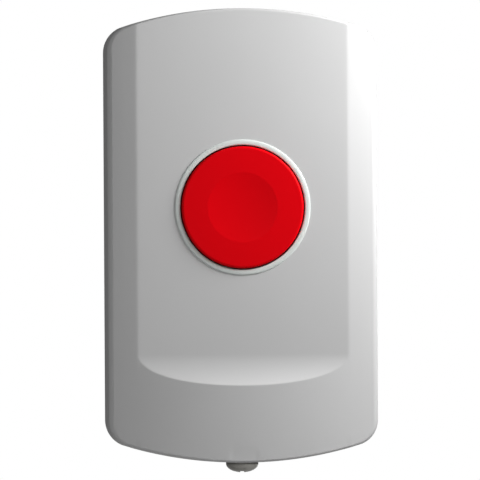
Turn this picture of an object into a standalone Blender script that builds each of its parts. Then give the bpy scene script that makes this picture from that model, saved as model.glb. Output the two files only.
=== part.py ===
"""A wall-mounted wireless panic button, modelled piece by piece at its real size.

The frame: X runs to the right as the button is seen on its wall, Z runs up, and the front faces -Y.
The wall is the plane y = 0, and the origin is the middle of the back plate's rear face.
A level is a distance from the wall towards the front, so the y of a point is minus its level.
"""

import math

import bmesh
import bpy
from mathutils import Vector

mm = 0.001

# Clearances
fit_gap = 0.3 * mm
seat_gap = 0.1 * mm
running_gap = 0.25 * mm
overrun = 1.0 * mm
bite = 0.5 * mm

# Outline of the housing, seen from the front
housing_height = 83.0 * mm
top_arc_radius = 70.0 * mm
bottom_arc_radius = 73.0 * mm
corner_radius = 5.0 * mm
least_corner = 0.8 * mm

# Battery, a CR2 lithium cell that lies across the lower end
battery_diameter = 15.6 * mm
battery_length = 27.0 * mm
battery_edge = 0.8 * mm
battery_nub_radius = 2.9 * mm
battery_nub_height = 0.8 * mm
battery_groove_radius = 6.0 * mm
battery_groove_depth = 0.3 * mm

# Back plate
floor_thickness = 2.0 * mm
floor_chamfer = 0.4 * mm
rim_thickness = 1.4 * mm
rim_height = 4.0 * mm
wall_slot_width = 4.6 * mm
wall_slot_length = 8.4 * mm
upper_slot_drop = 14.5 * mm
slot_land_width = 1.6 * mm
slot_land_height = 0.6 * mm
hook_width = 6.0 * mm
hook_offset = 12.0 * mm
hook_reach = 3.2 * mm
hook_catch = 0.8 * mm
hook_thickness = 1.5 * mm
hook_setback = 0.15 * mm
hook_lead = 0.5 * mm
saddle_offset = 7.5 * mm
saddle_thickness = 1.6 * mm
saddle_wall = 1.3 * mm
saddle_height = 5.0 * mm

# Front cover
cover_wall = 2.0 * mm
cover_draft = 0.3 * mm
parting_gap = 0.3 * mm
crown_radius = 93.0 * mm
side_round = 1.6 * mm
end_round = 0.6 * mm
inner_round = 0.5 * mm
channel_depth = 2.0 * mm
bank_radius = 9.0 * mm
bank_height = 19.9 * mm
collar_wall = 1.2 * mm
collar_lip = 0.3 * mm
collar_lip_height = 0.8 * mm
hold_down_radius = 2.0 * mm
rib_thickness = 1.2 * mm
rib_height = 2.2 * mm

# Cover screw, an M3 pan head that enters the lower edge
screw_radius = 1.5 * mm
screw_length = 8.0 * mm
screw_head_radius = 2.95 * mm
screw_head_height = 2.4 * mm
screw_head_rim = 0.7 * mm
screw_level = 10.0 * mm
screw_hole_gap = 0.2 * mm
recess_arm = 1.6 * mm
recess_width = 0.8 * mm
recess_depth = 1.3 * mm
screw_pocket_depth = 0.4 * mm
driver_notch_width = 5.2 * mm
driver_notch_height = 0.7 * mm
driver_notch_depth = 0.35 * mm
driver_notch_rise = 0.2 * mm
insert_wall = 0.6 * mm
insert_length = 5.0 * mm
insert_groove = 0.3 * mm
boss_wall = 1.6 * mm
boss_tip = 0.8 * mm

# Circuit board
board_thickness = 1.6 * mm
board_edge_gap = 0.4 * mm
board_post_inset = 4.0 * mm
board_post_radius = 2.5 * mm
board_post_drop = 7.5 * mm
board_pin_radius = 1.2 * mm
board_hole_gap = 0.2 * mm
rest_post_radius = 1.8 * mm
driver_way_radius = 3.8 * mm
board_leg_width = 4.4 * mm
part_gap = 0.6 * mm
contact_room = 2.4 * mm

# Board screws, two small pan heads
board_screw_radius = 1.0 * mm
board_screw_length = 5.0 * mm
board_screw_head_radius = 1.9 * mm
board_screw_head_height = 1.4 * mm
board_screw_head_rim = 0.45 * mm
board_recess_arm = 1.1 * mm
board_recess_width = 0.5 * mm
board_recess_depth = 0.8 * mm

# Tamper switch and its plunger, between the board and the wall
tamper_offset = 11.0 * mm
tamper_rise = 8.5 * mm
tamper_case_side = 6.0 * mm
tamper_case_height = 1.5 * mm
tamper_stem_radius = 1.3 * mm
tamper_stem_height = 0.4 * mm
tamper_stem_travel = 0.2 * mm
tamper_well_depth = 0.7 * mm
tamper_travel = 1.5 * mm
tamper_clearance = 0.6 * mm
tamper_radius = 2.6 * mm
tamper_wall = 0.55 * mm
tamper_tip = 1.0 * mm
tamper_tip_round = 0.5 * mm
tamper_flange_radius = 3.5 * mm
tamper_flange = 0.7 * mm
tamper_spring_wire = 0.35 * mm

# Button switch, a tactile switch on the front of the board
switch_side = 6.0 * mm
switch_case_height = 3.3 * mm
switch_plate_thickness = 0.25 * mm
switch_foot_height = 0.4 * mm
switch_corner = 0.5 * mm
switch_plunger_radius = 1.7 * mm
switch_plunger_height = 1.5 * mm
switch_well_depth = 1.0 * mm
terminal_width = 0.7 * mm
terminal_thickness = 0.2 * mm
terminal_pitch = 4.5 * mm
terminal_reach = 1.2 * mm

# Panic button and the white carrier that it slides in
button_rise = 5.1 * mm
button_radius = 11.1 * mm
button_proud = 0.7 * mm
button_edge = 0.7 * mm
button_top = 1.5 * mm
button_skirt = 1.2 * mm
button_travel = 0.8 * mm
button_free_play = 0.7 * mm
button_post_radius = 2.0 * mm
dish_radius = 6.5 * mm
dish_depth = 0.8 * mm
dish_rim = 1.0 * mm
leg_radius = 9.4 * mm
leg_thickness = 1.0 * mm
leg_width = 3.0 * mm
leg_hook = 0.9 * mm
leg_hook_height = 0.9 * mm
leg_flex_room = 1.0 * mm
carrier_wall = 1.0 * mm
carrier_bead = 0.25 * mm
carrier_flange = 1.0 * mm
carrier_flange_reach = 1.6 * mm
carrier_floor = 1.2 * mm
button_spring_wire = 0.5 * mm
button_spring_gap = 0.7 * mm
button_spring_least = 4.0 * mm

# Lamps, chips and other small parts on the board
lamp_length = 3.4 * mm
lamp_width = 2.8 * mm
lamp_height = 1.9 * mm
lamp_window_radius = 1.1 * mm
lamp_window_depth = 0.4 * mm
controller_side = 7.0 * mm
controller_height = 1.4 * mm
lead_count = 6
lead_pitch = 1.0 * mm
lead_width = 0.4 * mm
lead_reach = 1.0 * mm
lead_thickness = 0.25 * mm
shield_length = 10.0 * mm
shield_width = 8.0 * mm
shield_height = 2.2 * mm
shield_round = 0.4 * mm
crystal_length = 8.0 * mm
crystal_width = 3.6 * mm
crystal_height = 2.8 * mm
crystal_flange = 0.5 * mm
crystal_flange_height = 0.5 * mm
capacitor_radius = 3.15 * mm
capacitor_height = 5.2 * mm
capacitor_edge = 0.3 * mm
capacitor_base = 1.0 * mm
capacitor_groove = 0.4 * mm
antenna_radius = 2.2 * mm
antenna_wire = 0.8 * mm
antenna_length = 15.0 * mm
antenna_leg = 2.5 * mm
antenna_drop = 4.5 * mm
antenna_turns = 6
chip_length = 2.0 * mm
chip_width = 1.25 * mm
chip_height = 0.6 * mm
chip_pitch = 3.0 * mm
chip_count = 3

# Battery contacts, bent from sheet and soldered to the board's two legs
contact_width = 8.0 * mm
contact_thickness = 0.35 * mm
contact_height = 6.4 * mm
contact_foot_share = 0.7
leaf_bend_share = 0.35
leaf_rise_share = 0.45
leaf_end_share = 0.85

# How finely round forms are divided
corner_steps = 4
end_steps = 16
round_steps = 3
bank_steps = 10
dish_steps = 6
large_turn = 48
medium_turn = 28
small_turn = 16
spring_points = 10
sharp_angle = math.radians(32.0)
spring_pitch_share = 1.9
closed_pitch_share = 1.2

# Levels that follow from the sizes above
tamper_seat = floor_thickness + seat_gap
board_back = (
    tamper_seat + tamper_flange + tamper_travel + tamper_clearance + tamper_case_height + seat_gap
)
board_front = board_back + board_thickness
battery_level = floor_thickness + fit_gap + battery_diameter / 2
parting_level = floor_thickness + parting_gap
switch_foot = board_front + seat_gap
switch_top = switch_foot + switch_foot_height + switch_case_height + switch_plate_thickness
plunger_tip = switch_top + switch_plunger_height
carrier_back = switch_top + fit_gap
carrier_step = carrier_back + carrier_floor
panel_over_battery = battery_level + battery_diameter / 2 + fit_gap + cover_wall
panel_over_spring = carrier_step + button_spring_least + button_top + dish_depth - button_proud
panel_level = max(panel_over_battery, panel_over_spring)
housing_depth = panel_level + channel_depth
cover_inside = panel_level - cover_wall
flange_front = cover_inside - seat_gap
flange_back = flange_front - carrier_flange
collar_end = flange_back - seat_gap - collar_lip_height
button_face = panel_level + button_proud
dish_face = button_face - dish_depth
button_underside = dish_face - button_top
post_end = plunger_tip + button_free_play

# Places across the front that follow from the sizes above
bank_foot = bank_height - housing_height / 2
boss_bottom = cover_wall + cover_draft + fit_gap - housing_height / 2
screw_seat = cover_draft + screw_pocket_depth - seat_gap - housing_height / 2
screw_tip = screw_seat + screw_length
insert_bore = screw_radius + seat_gap
insert_radius = insert_bore + insert_wall
boss_top = max(boss_bottom + insert_length, screw_tip) + fit_gap + boss_tip
battery_rise = boss_top + fit_gap + battery_diameter / 2
notch_top = battery_rise + battery_diameter / 2 + fit_gap + saddle_wall + fit_gap
notch_half = battery_length / 2 + contact_room
board_half = notch_half + board_leg_width
board_inset = cover_wall + cover_draft + fit_gap + rim_thickness + board_edge_gap
housing_width = 2 * (board_half + board_inset)
board_top = housing_height / 2 - board_inset
post_across = board_half - board_post_inset
upper_post = board_top - board_post_drop
lower_post = notch_top + board_post_radius + fit_gap
rest_post_across = (notch_half + board_half) / 2
upper_slot = board_top - upper_slot_drop
lower_slot = (notch_top + button_rise - switch_side / 2) / 2
hole_radius = button_radius + running_gap + carrier_wall + fit_gap / 2
carrier_outer = button_radius + running_gap + carrier_wall
carrier_inner = button_radius + running_gap
flange_radius = carrier_outer + carrier_flange_reach
collar_inner = flange_radius + fit_gap
collar_outer = collar_inner + collar_wall
rib_across = collar_outer + rib_thickness
hook_back = floor_thickness + rim_height + hook_reach
hook_front = hook_back + hook_thickness
hook_inset = cover_wall + fit_gap + rim_thickness
tamper_z = button_rise + tamper_rise
controller_reach = controller_side / 2 + lead_reach
controller_x = hold_down_radius + part_gap + controller_reach - post_across
controller_z = notch_top + part_gap + controller_reach
crystal_x = post_across - hold_down_radius - part_gap - crystal_length / 2 - crystal_flange
beside_screws = post_across - board_screw_head_radius
under_screws = upper_post - board_screw_head_radius - part_gap
chip_row_x = controller_x + controller_side / 2 - chip_length / 2
first_chip = controller_z + controller_reach + part_gap + chip_width / 2

# Turns that lay a flat outline or an axis in place
facing_front = (math.pi / 2, 0.0, 0.0)
along_width = (math.pi / 2, 0.0, math.pi / 2)
upright = (0.0, 0.0, 0.0)
lying = (0.0, math.pi / 2, 0.0)


def new_collection(name):
    """A collection of this name in the scene."""
    made = bpy.data.collections.new(name)
    bpy.context.scene.collection.children.link(made)
    return made


for leftover in list(bpy.data.objects):
    bpy.data.objects.remove(leftover)
parts = new_collection("wireless_panic_button")
tools = new_collection("cutters_and_features")


def finish(name, colour, roughness, metallic=0.0):
    """A Principled material."""
    made = bpy.data.materials.new(name)
    made.use_nodes = True
    shader = made.node_tree.nodes["Principled BSDF"]
    shader.inputs["Base Color"].default_value = (*colour, 1.0)
    shader.inputs["Roughness"].default_value = roughness
    shader.inputs["Metallic"].default_value = metallic
    return made


cover_plastic = finish("light_grey_abs", (0.62, 0.62, 0.62), 0.35)
base_plastic = finish("grey_abs", (0.55, 0.55, 0.55), 0.45)
carrier_plastic = finish("white_acrylic", (0.78, 0.80, 0.79), 0.25)
button_plastic = finish("red_abs", (0.62, 0.0, 0.004), 0.3)
dark_plastic = finish("black_nylon", (0.03, 0.03, 0.03), 0.5)
board_laminate = finish("green_laminate", (0.02, 0.16, 0.06), 0.4)
spring_steel = finish("spring_steel", (0.6, 0.6, 0.62), 0.25, 1.0)
nickel_plate = finish("nickel_plate", (0.42, 0.42, 0.44), 0.2, 1.0)
brass_metal = finish("brass", (0.7, 0.5, 0.2), 0.3, 1.0)
tinned_steel = finish("tinned_steel", (0.65, 0.65, 0.66), 0.35, 1.0)
battery_wrap = finish("battery_sleeve", (0.05, 0.06, 0.08), 0.35, 0.2)
lamp_resin = finish("lamp_resin", (0.85, 0.85, 0.80), 0.3)
ceramic_body = finish("ceramic", (0.25, 0.18, 0.12), 0.5)


def place(name, data, surface, turn=upright, spot=(0.0, 0.0, 0.0)):
    """Adds an object: a part where it has a surface, or else a hidden feature for a Boolean."""
    made = bpy.data.objects.new(name, data)
    made.rotation_euler = turn
    made.location = spot
    if surface is None:
        tools.objects.link(made)
        made.hide_render = True
        made.display_type = "WIRE"
    else:
        parts.objects.link(made)
        data.materials.append(surface)
    return made


def mesh_from(name, shape):
    """Turns a bmesh into a mesh whose faces point out."""
    bmesh.ops.recalc_face_normals(shape, faces=shape.faces)
    mesh = bpy.data.meshes.new(name)
    shape.to_mesh(mesh)
    shape.free()
    return mesh


def block(name, low, high, surface=None, spot=(0.0, 0.0, 0.0), turn=upright):
    """A box between two corners, which are given about its own spot."""
    low, high = Vector(low), Vector(high)
    shape = bmesh.new()
    bmesh.ops.create_cube(shape, size=1.0)
    bmesh.ops.scale(shape, vec=high - low, verts=shape.verts)
    bmesh.ops.translate(shape, vec=(low + high) / 2, verts=shape.verts)
    return place(name, mesh_from(name, shape), surface, turn, spot)


def pad(name, x, z, length, width, back, front, surface=None):
    """A box seen from the front: its middle, its length along X, its width along Z and its two levels."""
    low = (-length / 2, -front, -width / 2)
    high = (length / 2, -back, width / 2)
    return block(name, low, high, surface, (x, 0.0, z))


def rod(name, radius, x, z, back, front, surface=None, sides=small_turn):
    """A round rod along Y between two levels."""
    shape = bmesh.new()
    bmesh.ops.create_cone(
        shape, cap_ends=True, segments=sides, radius1=radius, radius2=radius, depth=front - back
    )
    bmesh.ops.translate(shape, vec=(0.0, 0.0, (front + back) / 2), verts=shape.verts)
    return place(name, mesh_from(name, shape), surface, facing_front, (x, 0.0, z))


def plate(name, points, low, high, turn, surface=None, spot=(0.0, 0.0, 0.0)):
    """A flat outline in its own XY plane, extruded along its own Z from low to high."""
    shape = bmesh.new()
    face = shape.faces.new([shape.verts.new((x, y, low)) for x, y in points])
    raised = bmesh.ops.extrude_face_region(shape, geom=[face])["geom"]
    lifted = [item for item in raised if isinstance(item, bmesh.types.BMVert)]
    bmesh.ops.translate(shape, vec=(0.0, 0.0, high - low), verts=lifted)
    return place(name, mesh_from(name, shape), surface, turn, spot)


def turned(name, profile, surface=None, turn=facing_front, spot=(0.0, 0.0, 0.0), steps=small_turn,
           closed=False):
    """A turned shape. The profile's (radius, height) points run down its outer side, top to bottom."""
    shape = bmesh.new()
    points = [shape.verts.new((radius, 0.0, height)) for radius, height in profile]
    for first, second in zip(points, points[1:]):
        shape.edges.new((first, second))
    if closed:
        shape.edges.new((points[-1], points[0]))
    mesh = bpy.data.meshes.new(name)
    shape.to_mesh(mesh)
    shape.free()
    made = place(name, mesh, surface, turn, spot)
    screw = made.modifiers.new("turn", "SCREW")
    screw.steps = steps
    screw.render_steps = steps
    screw.use_merge_vertices = True
    screw.merge_threshold = seat_gap / 10
    return made


def loft(name, rings, surface=None):
    """A solid through matching rings, each an outline's upper row and then its lower row turned back."""
    shape = bmesh.new()
    loops = [[shape.verts.new(point) for point in ring] for ring in rings]
    for behind, ahead in zip(loops, loops[1:]):
        for here in range(len(behind)):
            after = (here + 1) % len(behind)
            shape.faces.new((behind[here], behind[after], ahead[after], ahead[here]))
    for loop in (loops[0], loops[-1]):
        for here in range(len(loop) // 2 - 1):
            shape.faces.new((loop[here], loop[here + 1], loop[-2 - here], loop[-1 - here]))
    return place(name, mesh_from(name, shape), surface)


def wire_spline(name, wire, points, surface, turn=upright, spot=(0.0, 0.0, 0.0)):
    """A round wire bent through these points."""
    curve = bpy.data.curves.new(name, "CURVE")
    curve.dimensions = "3D"
    spline = curve.splines.new("POLY")
    spline.points.add(len(points) - 1)
    for bend, point in zip(spline.points, points):
        bend.co = (*point, 1.0)
    curve.bevel_depth = wire / 2
    curve.bevel_resolution = 2
    curve.use_fill_caps = True
    return place(name, curve, surface, turn, spot)


def coil(name, radius, wire, start, end, spot):
    """A compression spring towards the front, whose first and last turns lie close."""
    turns = max(round((end - start) / (wire * spring_pitch_share)), 3)
    closed_pitch = wire * closed_pitch_share
    open_length = end - start - wire - 2 * closed_pitch
    points = []
    for step in range(turns * spring_points + 1):
        wound = step / spring_points
        middle = min(max((wound - 1) / (turns - 2), 0.0), 1.0)
        ends = min(wound, 1.0) + max(wound - turns + 1, 0.0)
        angle = 2 * math.pi * wound
        height = start + wire / 2 + closed_pitch * ends + open_length * middle
        points.append((radius * math.cos(angle), radius * math.sin(angle), height))
    return wire_spline(name, wire, points, spring_steel, facing_front, spot)


def combine(body, tool, operation):
    """Cuts a hidden feature from a body, or joins it on."""
    change = body.modifiers.new(tool.name, "BOOLEAN")
    change.operation = operation
    change.object = tool
    change.solver = "EXACT"


def cut(body, tool):
    """Cuts a hidden feature from a body."""
    combine(body, tool, "DIFFERENCE")


def fuse(body, tool):
    """Joins a hidden feature to a body."""
    combine(body, tool, "UNION")


def outline_end(inset, end_radius):
    """The outline's upper end from left to right as (x, z) points: corner, long arc and corner."""
    half = housing_width / 2 - inset
    middle = housing_height / 2 - end_radius
    arc = end_radius - inset
    corner = max(corner_radius - inset, least_corner)
    corner_x = half - corner
    corner_z = middle + math.sqrt((arc - corner) ** 2 - corner_x**2)
    lean = math.atan2(corner_x, corner_z - middle)
    left = []
    for step in range(corner_steps):
        angle = math.pi / 2 - (math.pi / 2 - lean) * step / corner_steps
        left.append((-corner_x - corner * math.sin(angle), corner_z + corner * math.cos(angle)))
    across = []
    for step in range(end_steps + 1):
        x = corner_x * (2 * step / end_steps - 1)
        across.append((x, middle + math.sqrt(arc**2 - x**2)))
    right = [(-x, z) for x, z in reversed(left)]
    return left + across + right


def outline(inset):
    """The housing's outline, moved inwards by inset, as (x, z) points."""
    upper = outline_end(inset, top_arc_radius)
    lower = [(x, -z) for x, z in outline_end(inset, bottom_arc_radius)]
    return upper + lower[::-1]


def flat_ring(inset, level):
    """The outline at one level."""
    return [(x, -level, z) for x, z in outline(inset)]


def crown(x):
    """The level of the cover's crowned face."""
    return housing_depth - crown_radius + math.sqrt(crown_radius**2 - x**2)


def eased(side, end):
    """A value for each outline point: one on the sides, another on the ends, eased round the corners."""
    corner = [side + (end - side) * step / corner_steps for step in range(corner_steps)]
    half = corner + [end] * (end_steps + 1) + corner[::-1]
    return half + half


def rounded_rings(inset, below, rounds, steps):
    """Rings that round a side wall over into the face at a distance below the crown."""
    rings = []
    for step in range(steps + 1):
        angle = math.pi / 2 * step / steps
        ring = []
        for place_in_row, radius in enumerate(rounds):
            x, z = outline(inset + radius * (1 - math.cos(angle)))[place_in_row]
            ring.append((x, below + radius * (1 - math.sin(angle)) - crown(x), z))
        rings.append(ring)
    return rings


def channel(name, radius, level):
    """What is taken off the crown: a flat that runs out at the top and sweeps forward at its lower end."""
    top = housing_height / 2 + overrun
    front = level + channel_depth + overrun
    sweep = math.acos(max(1 - (channel_depth + overrun) / radius, 0.0))
    profile = [(-level, top), (-level, bank_foot)]
    for step in range(1, bank_steps + 1):
        angle = sweep * step / bank_steps
        profile.append((radius * math.cos(angle) - level - radius, bank_foot - radius * math.sin(angle)))
    profile.append((-front, profile[-1][1]))
    profile.append((-front, top))
    half = housing_width / 2 + overrun
    return plate(name, profile, -half, half, along_width)


def channel_edge(name):
    """What rounds the channel's top edge: a strip along the top arc, hollowed on its underside."""
    middle = housing_height / 2 - top_arc_radius
    corner_x = housing_width / 2 - corner_radius
    low = panel_level - end_round
    high = housing_depth + overrun
    rings = []
    for column in range(end_steps + 1):
        x = corner_x * (2 * column / end_steps - 1)
        start = cover_draft * (low - parting_level) / (crown(x) - end_round - parting_level)
        reach = cover_draft + end_round - start
        section = [(-overrun, low)]
        for step in range(round_steps + 1):
            angle = math.pi / 2 * step / round_steps
            section.append((start + reach * (1 - math.cos(angle)), low + end_round * math.sin(angle)))
        heights = [middle + math.sqrt((top_arc_radius - inset) ** 2 - x**2) for inset, level in section]
        under = [(x, -level, z) for (inset, level), z in zip(section, heights)]
        rings.append(under + [(x, -high, z) for z in reversed(heights)])
    return loft(name, rings)


def top_bar(name, x, section, width):
    """A bar laid across the outline's top arc at x, with (inset, level) points as its section."""
    lean = math.asin(x / top_arc_radius)
    height = housing_height / 2 - top_arc_radius * (1 - math.cos(lean))
    profile = [(-level, -inset) for inset, level in section]
    turn = (math.pi / 2 + lean, 0.0, math.pi / 2)
    return plate(name, profile, -width / 2, width / 2, turn, None, (x, 0.0, height))


def build_front_cover():
    """The crowned front cover: one moulded shell with its channel, collar, posts and screw entry."""
    rings = [flat_ring(0.0, parting_level)]
    rings += rounded_rings(cover_draft, 0.0, eased(side_round, end_round), round_steps)
    cover = loft("front_cover", rings, cover_plastic)
    cut(cover, channel("channel_cutter", bank_radius, panel_level))
    cut(cover, channel_edge("channel_edge_cutter"))
    cavity_rings = [flat_ring(cover_wall, parting_level - overrun)]
    cavity_rings += rounded_rings(cover_wall + cover_draft, cover_wall, eased(inner_round, inner_round), 1)
    cavity = loft("cover_cavity", cavity_rings)
    cut(cavity, channel("cavity_channel_cutter", bank_radius + cover_wall, cover_inside))
    cut(cover, cavity)
    add_collar(cover)
    front = cover_inside + bite
    middle = (upper_post + lower_post) / 2
    for side, x in (("left", -post_across), ("right", post_across)):
        fuse(cover, rod(f"hold_down_{side}", hold_down_radius, x, lower_post, board_front + fit_gap, front))
    for side, x in (("left", -rib_across), ("right", rib_across)):
        fuse(cover, pad(f"stiffening_rib_{side}", x, middle, rib_thickness, upper_post - lower_post,
                        cover_inside - rib_height, front))
    cut(cover, rod("carrier_hole", hole_radius, 0.0, button_rise, collar_end, housing_depth + overrun,
                   sides=large_turn))
    cut_screw_entry(cover)
    pocket_end = cover_wall + cover_draft - hook_catch - fit_gap
    pocket = [
        (cover_wall + cover_draft + overrun, hook_back - fit_gap),
        (cover_wall + cover_draft + overrun, hook_front + fit_gap),
        (pocket_end, hook_front + fit_gap),
        (pocket_end, hook_back - fit_gap),
    ]
    for side, x in (("left", -hook_offset), ("right", hook_offset)):
        cut(cover, top_bar(f"hook_pocket_{side}", x, pocket, hook_width + 2 * fit_gap))
    return cover


def add_collar(cover):
    """The ring inside the cover round the carrier's flange, with the lip that the flange snaps past."""
    lip = flange_radius - collar_lip
    profile = [
        (collar_outer, cover_inside + bite),
        (collar_outer, collar_end),
        (lip, collar_end),
        (lip, collar_end + collar_lip_height),
        (collar_inner, collar_end + collar_lip_height),
        (collar_inner, cover_inside + bite),
    ]
    spot = (0.0, 0.0, button_rise)
    fuse(cover, turned("cover_collar", profile, None, facing_front, spot, large_turn, True))


def cut_screw_entry(cover):
    """The hole, the shallow pocket and the driver notch for the cover screw."""
    edge = -housing_height / 2
    spot = (0.0, -screw_level, edge)
    bore = screw_radius + screw_hole_gap
    hole = [(0.0, boss_top - edge), (bore, boss_top - edge), (bore, -overrun), (0.0, -overrun)]
    cut(cover, turned("cover_screw_hole", hole, None, upright, spot))
    land = screw_head_radius + fit_gap
    land_height = cover_draft + screw_pocket_depth
    pocket = [(0.0, land_height), (land, land_height), (land, -overrun), (0.0, -overrun)]
    cut(cover, turned("cover_screw_pocket", pocket, None, upright, spot, medium_turn))
    half = driver_notch_width / 2
    low = cover_draft + driver_notch_rise
    high = low + driver_notch_height
    face = -housing_depth
    slope = [(face - overrun, low), (face, low), (face + driver_notch_depth, high), (face - overrun, high)]
    cut(cover, plate("driver_notch", slope, -half, half, along_width, None, (0.0, 0.0, edge)))


def obround(length, width):
    """An outline with straight sides and round ends, its length along X."""
    radius = width / 2
    straight = length / 2 - radius
    points = []
    for step in range(small_turn // 2 + 1):
        angle = math.pi * step / (small_turn // 2) - math.pi / 2
        points.append((straight + radius * math.cos(angle), radius * math.sin(angle)))
    return points + [(-x, -y) for x, y in points]


def turned_outline(points):
    """The same outline with its length along the other axis."""
    return [(-y, x) for x, y in points]


def build_base_plate():
    """The back plate: floor, rim, board posts, battery saddles, screw boss, top hooks and wall slots."""
    floor = [flat_ring(floor_chamfer, 0.0), flat_ring(0.0, floor_chamfer), flat_ring(0.0, floor_thickness)]
    base = loft("base_plate", floor, base_plastic)
    rim_inset = cover_wall + fit_gap
    rim_front = floor_thickness + rim_height
    rim = loft("rim", [flat_ring(rim_inset, floor_thickness - bite), flat_ring(rim_inset, rim_front)])
    inner = rim_inset + rim_thickness
    cut(rim, loft("rim_inside", [flat_ring(inner, 0.0), flat_ring(inner, rim_front + overrun)]))
    fuse(base, rim)
    add_board_posts(base)
    add_battery_saddles(base)
    add_screw_boss(base)
    add_top_hooks(base)
    cut_wall_slots(base)
    cut(base, rod("tamper_hole", tamper_radius + running_gap, tamper_offset, tamper_z, -overrun,
                  floor_thickness + overrun, sides=medium_turn))
    return base


def add_board_posts(base):
    """Two posts that take the board's screws, and two with pegs that pass through the board."""
    post_front = board_back - seat_gap
    pilot = board_screw_radius + seat_gap
    root = floor_thickness - bite
    for side, x in (("left", -post_across), ("right", post_across)):
        fuse(base, rod(f"screw_post_{side}", board_post_radius, x, upper_post, root, post_front))
        cut(base, rod(f"pilot_hole_{side}", pilot, x, upper_post, root, post_front + overrun))
        fuse(base, rod(f"peg_post_{side}", board_post_radius, x, lower_post, root, post_front))
        fuse(base, rod(f"peg_{side}", board_pin_radius, x, lower_post, board_back - bite, board_front))
    for side, x in (("left", -rest_post_across), ("right", rest_post_across)):
        z = battery_rise - battery_diameter / 2
        fuse(base, rod(f"rest_post_{side}", rest_post_radius, x, z, root, post_front))


def add_battery_saddles(base):
    """Two ribs whose hollow edges carry the battery."""
    low = boss_top + fit_gap - saddle_wall
    high = battery_rise + battery_diameter / 2 + fit_gap + saddle_wall
    bed = rod_across("battery_bed", battery_diameter / 2 + fit_gap / 2)
    for side, x in (("left", -saddle_offset), ("right", saddle_offset)):
        rib = pad(f"saddle_{side}", x, (low + high) / 2, saddle_thickness, high - low, floor_thickness - bite,
                  floor_thickness + saddle_height)
        cut(rib, bed)
        fuse(base, rib)


def rod_across(name, radius):
    """A round rod along X through the battery's axis."""
    half = battery_length / 2 + overrun
    profile = [(0.0, half), (radius, half), (radius, -half), (0.0, -half)]
    return turned(name, profile, None, lying, (0.0, -battery_level, battery_rise), medium_turn)


def add_screw_boss(base):
    """The lug at the lower edge that holds the threaded insert."""
    half = insert_radius + boss_wall
    outline_points = [(half, bite - floor_thickness)]
    for step in range(small_turn // 2 + 1):
        angle = 2 * math.pi * step / small_turn
        outline_points.append((half * math.cos(angle), -screw_level - half * math.sin(angle)))
    outline_points.append((-half, bite - floor_thickness))
    fuse(base, plate("screw_lug", outline_points, boss_bottom, boss_top, upright))
    bore = insert_radius + seat_gap
    end = insert_length + seat_gap
    tip_bore = screw_radius + screw_hole_gap
    tip_end = boss_top - boss_tip - boss_bottom
    hole = [
        (0.0, tip_end),
        (tip_bore, tip_end),
        (tip_bore, end),
        (bore, end),
        (bore, -overrun),
        (0.0, -overrun),
    ]
    cut(base, turned("insert_hole", hole, None, upright, (0.0, -screw_level, boss_bottom)))


def add_top_hooks(base):
    """Two hooks that rise from the rim and catch in pockets of the cover's top wall."""
    root = floor_thickness - bite
    inner = hook_inset - hook_setback
    outer = hook_inset - rim_thickness + hook_setback
    catch = cover_wall + cover_draft - hook_catch
    section = [
        (inner, root),
        (inner, hook_front),
        (catch + hook_lead, hook_front),
        (catch, hook_front - hook_lead),
        (catch, hook_back),
        (outer, hook_back),
        (outer, root),
    ]
    for side, x in (("left", -hook_offset), ("right", hook_offset)):
        fuse(base, top_bar(f"hook_{side}", x, section, hook_width))


def cut_wall_slots(base):
    """An upright slot and a level slot for the two wall screws, each inside a raised land."""
    shape = obround(wall_slot_length, wall_slot_width)
    grown = obround(wall_slot_length + 2 * slot_land_width, wall_slot_width + 2 * slot_land_width)
    for name, z, turn_shape in (("upper", upper_slot, turned_outline), ("lower", lower_slot, list)):
        spot = (0.0, 0.0, z)
        land = plate(f"{name}_slot_land", turn_shape(grown), floor_thickness - bite,
                     floor_thickness + slot_land_height, facing_front, None, spot)
        fuse(base, land)
        cut(base, plate(f"{name}_wall_slot", turn_shape(shape), -overrun,
                        floor_thickness + slot_land_height + overrun, facing_front, None, spot))


def build_board():
    """The circuit board, whose two legs stand beside the battery."""
    board = plate("circuit_board", outline(board_inset), board_back, board_front, facing_front,
                  board_laminate)
    low = -housing_height
    cut(board, block("battery_notch", (-notch_half, -board_front - overrun, low),
                     (notch_half, overrun - board_back, notch_top)))
    for side, x in (("left", -post_across), ("right", post_across)):
        screw_hole = board_screw_radius + board_hole_gap
        cut(board, rod(f"board_screw_hole_{side}", screw_hole, x, upper_post, board_back - overrun,
                       board_front + overrun))
        peg_hole = board_pin_radius + board_hole_gap
        cut(board, rod(f"board_peg_hole_{side}", peg_hole, x, lower_post, board_back - overrun,
                       board_front + overrun))
    for name, z in (("upper", upper_slot), ("lower", lower_slot)):
        cut(board, rod(f"{name}_driver_way", driver_way_radius, 0.0, z, board_back - overrun,
                       board_front + overrun, sides=medium_turn))
    return board


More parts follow.
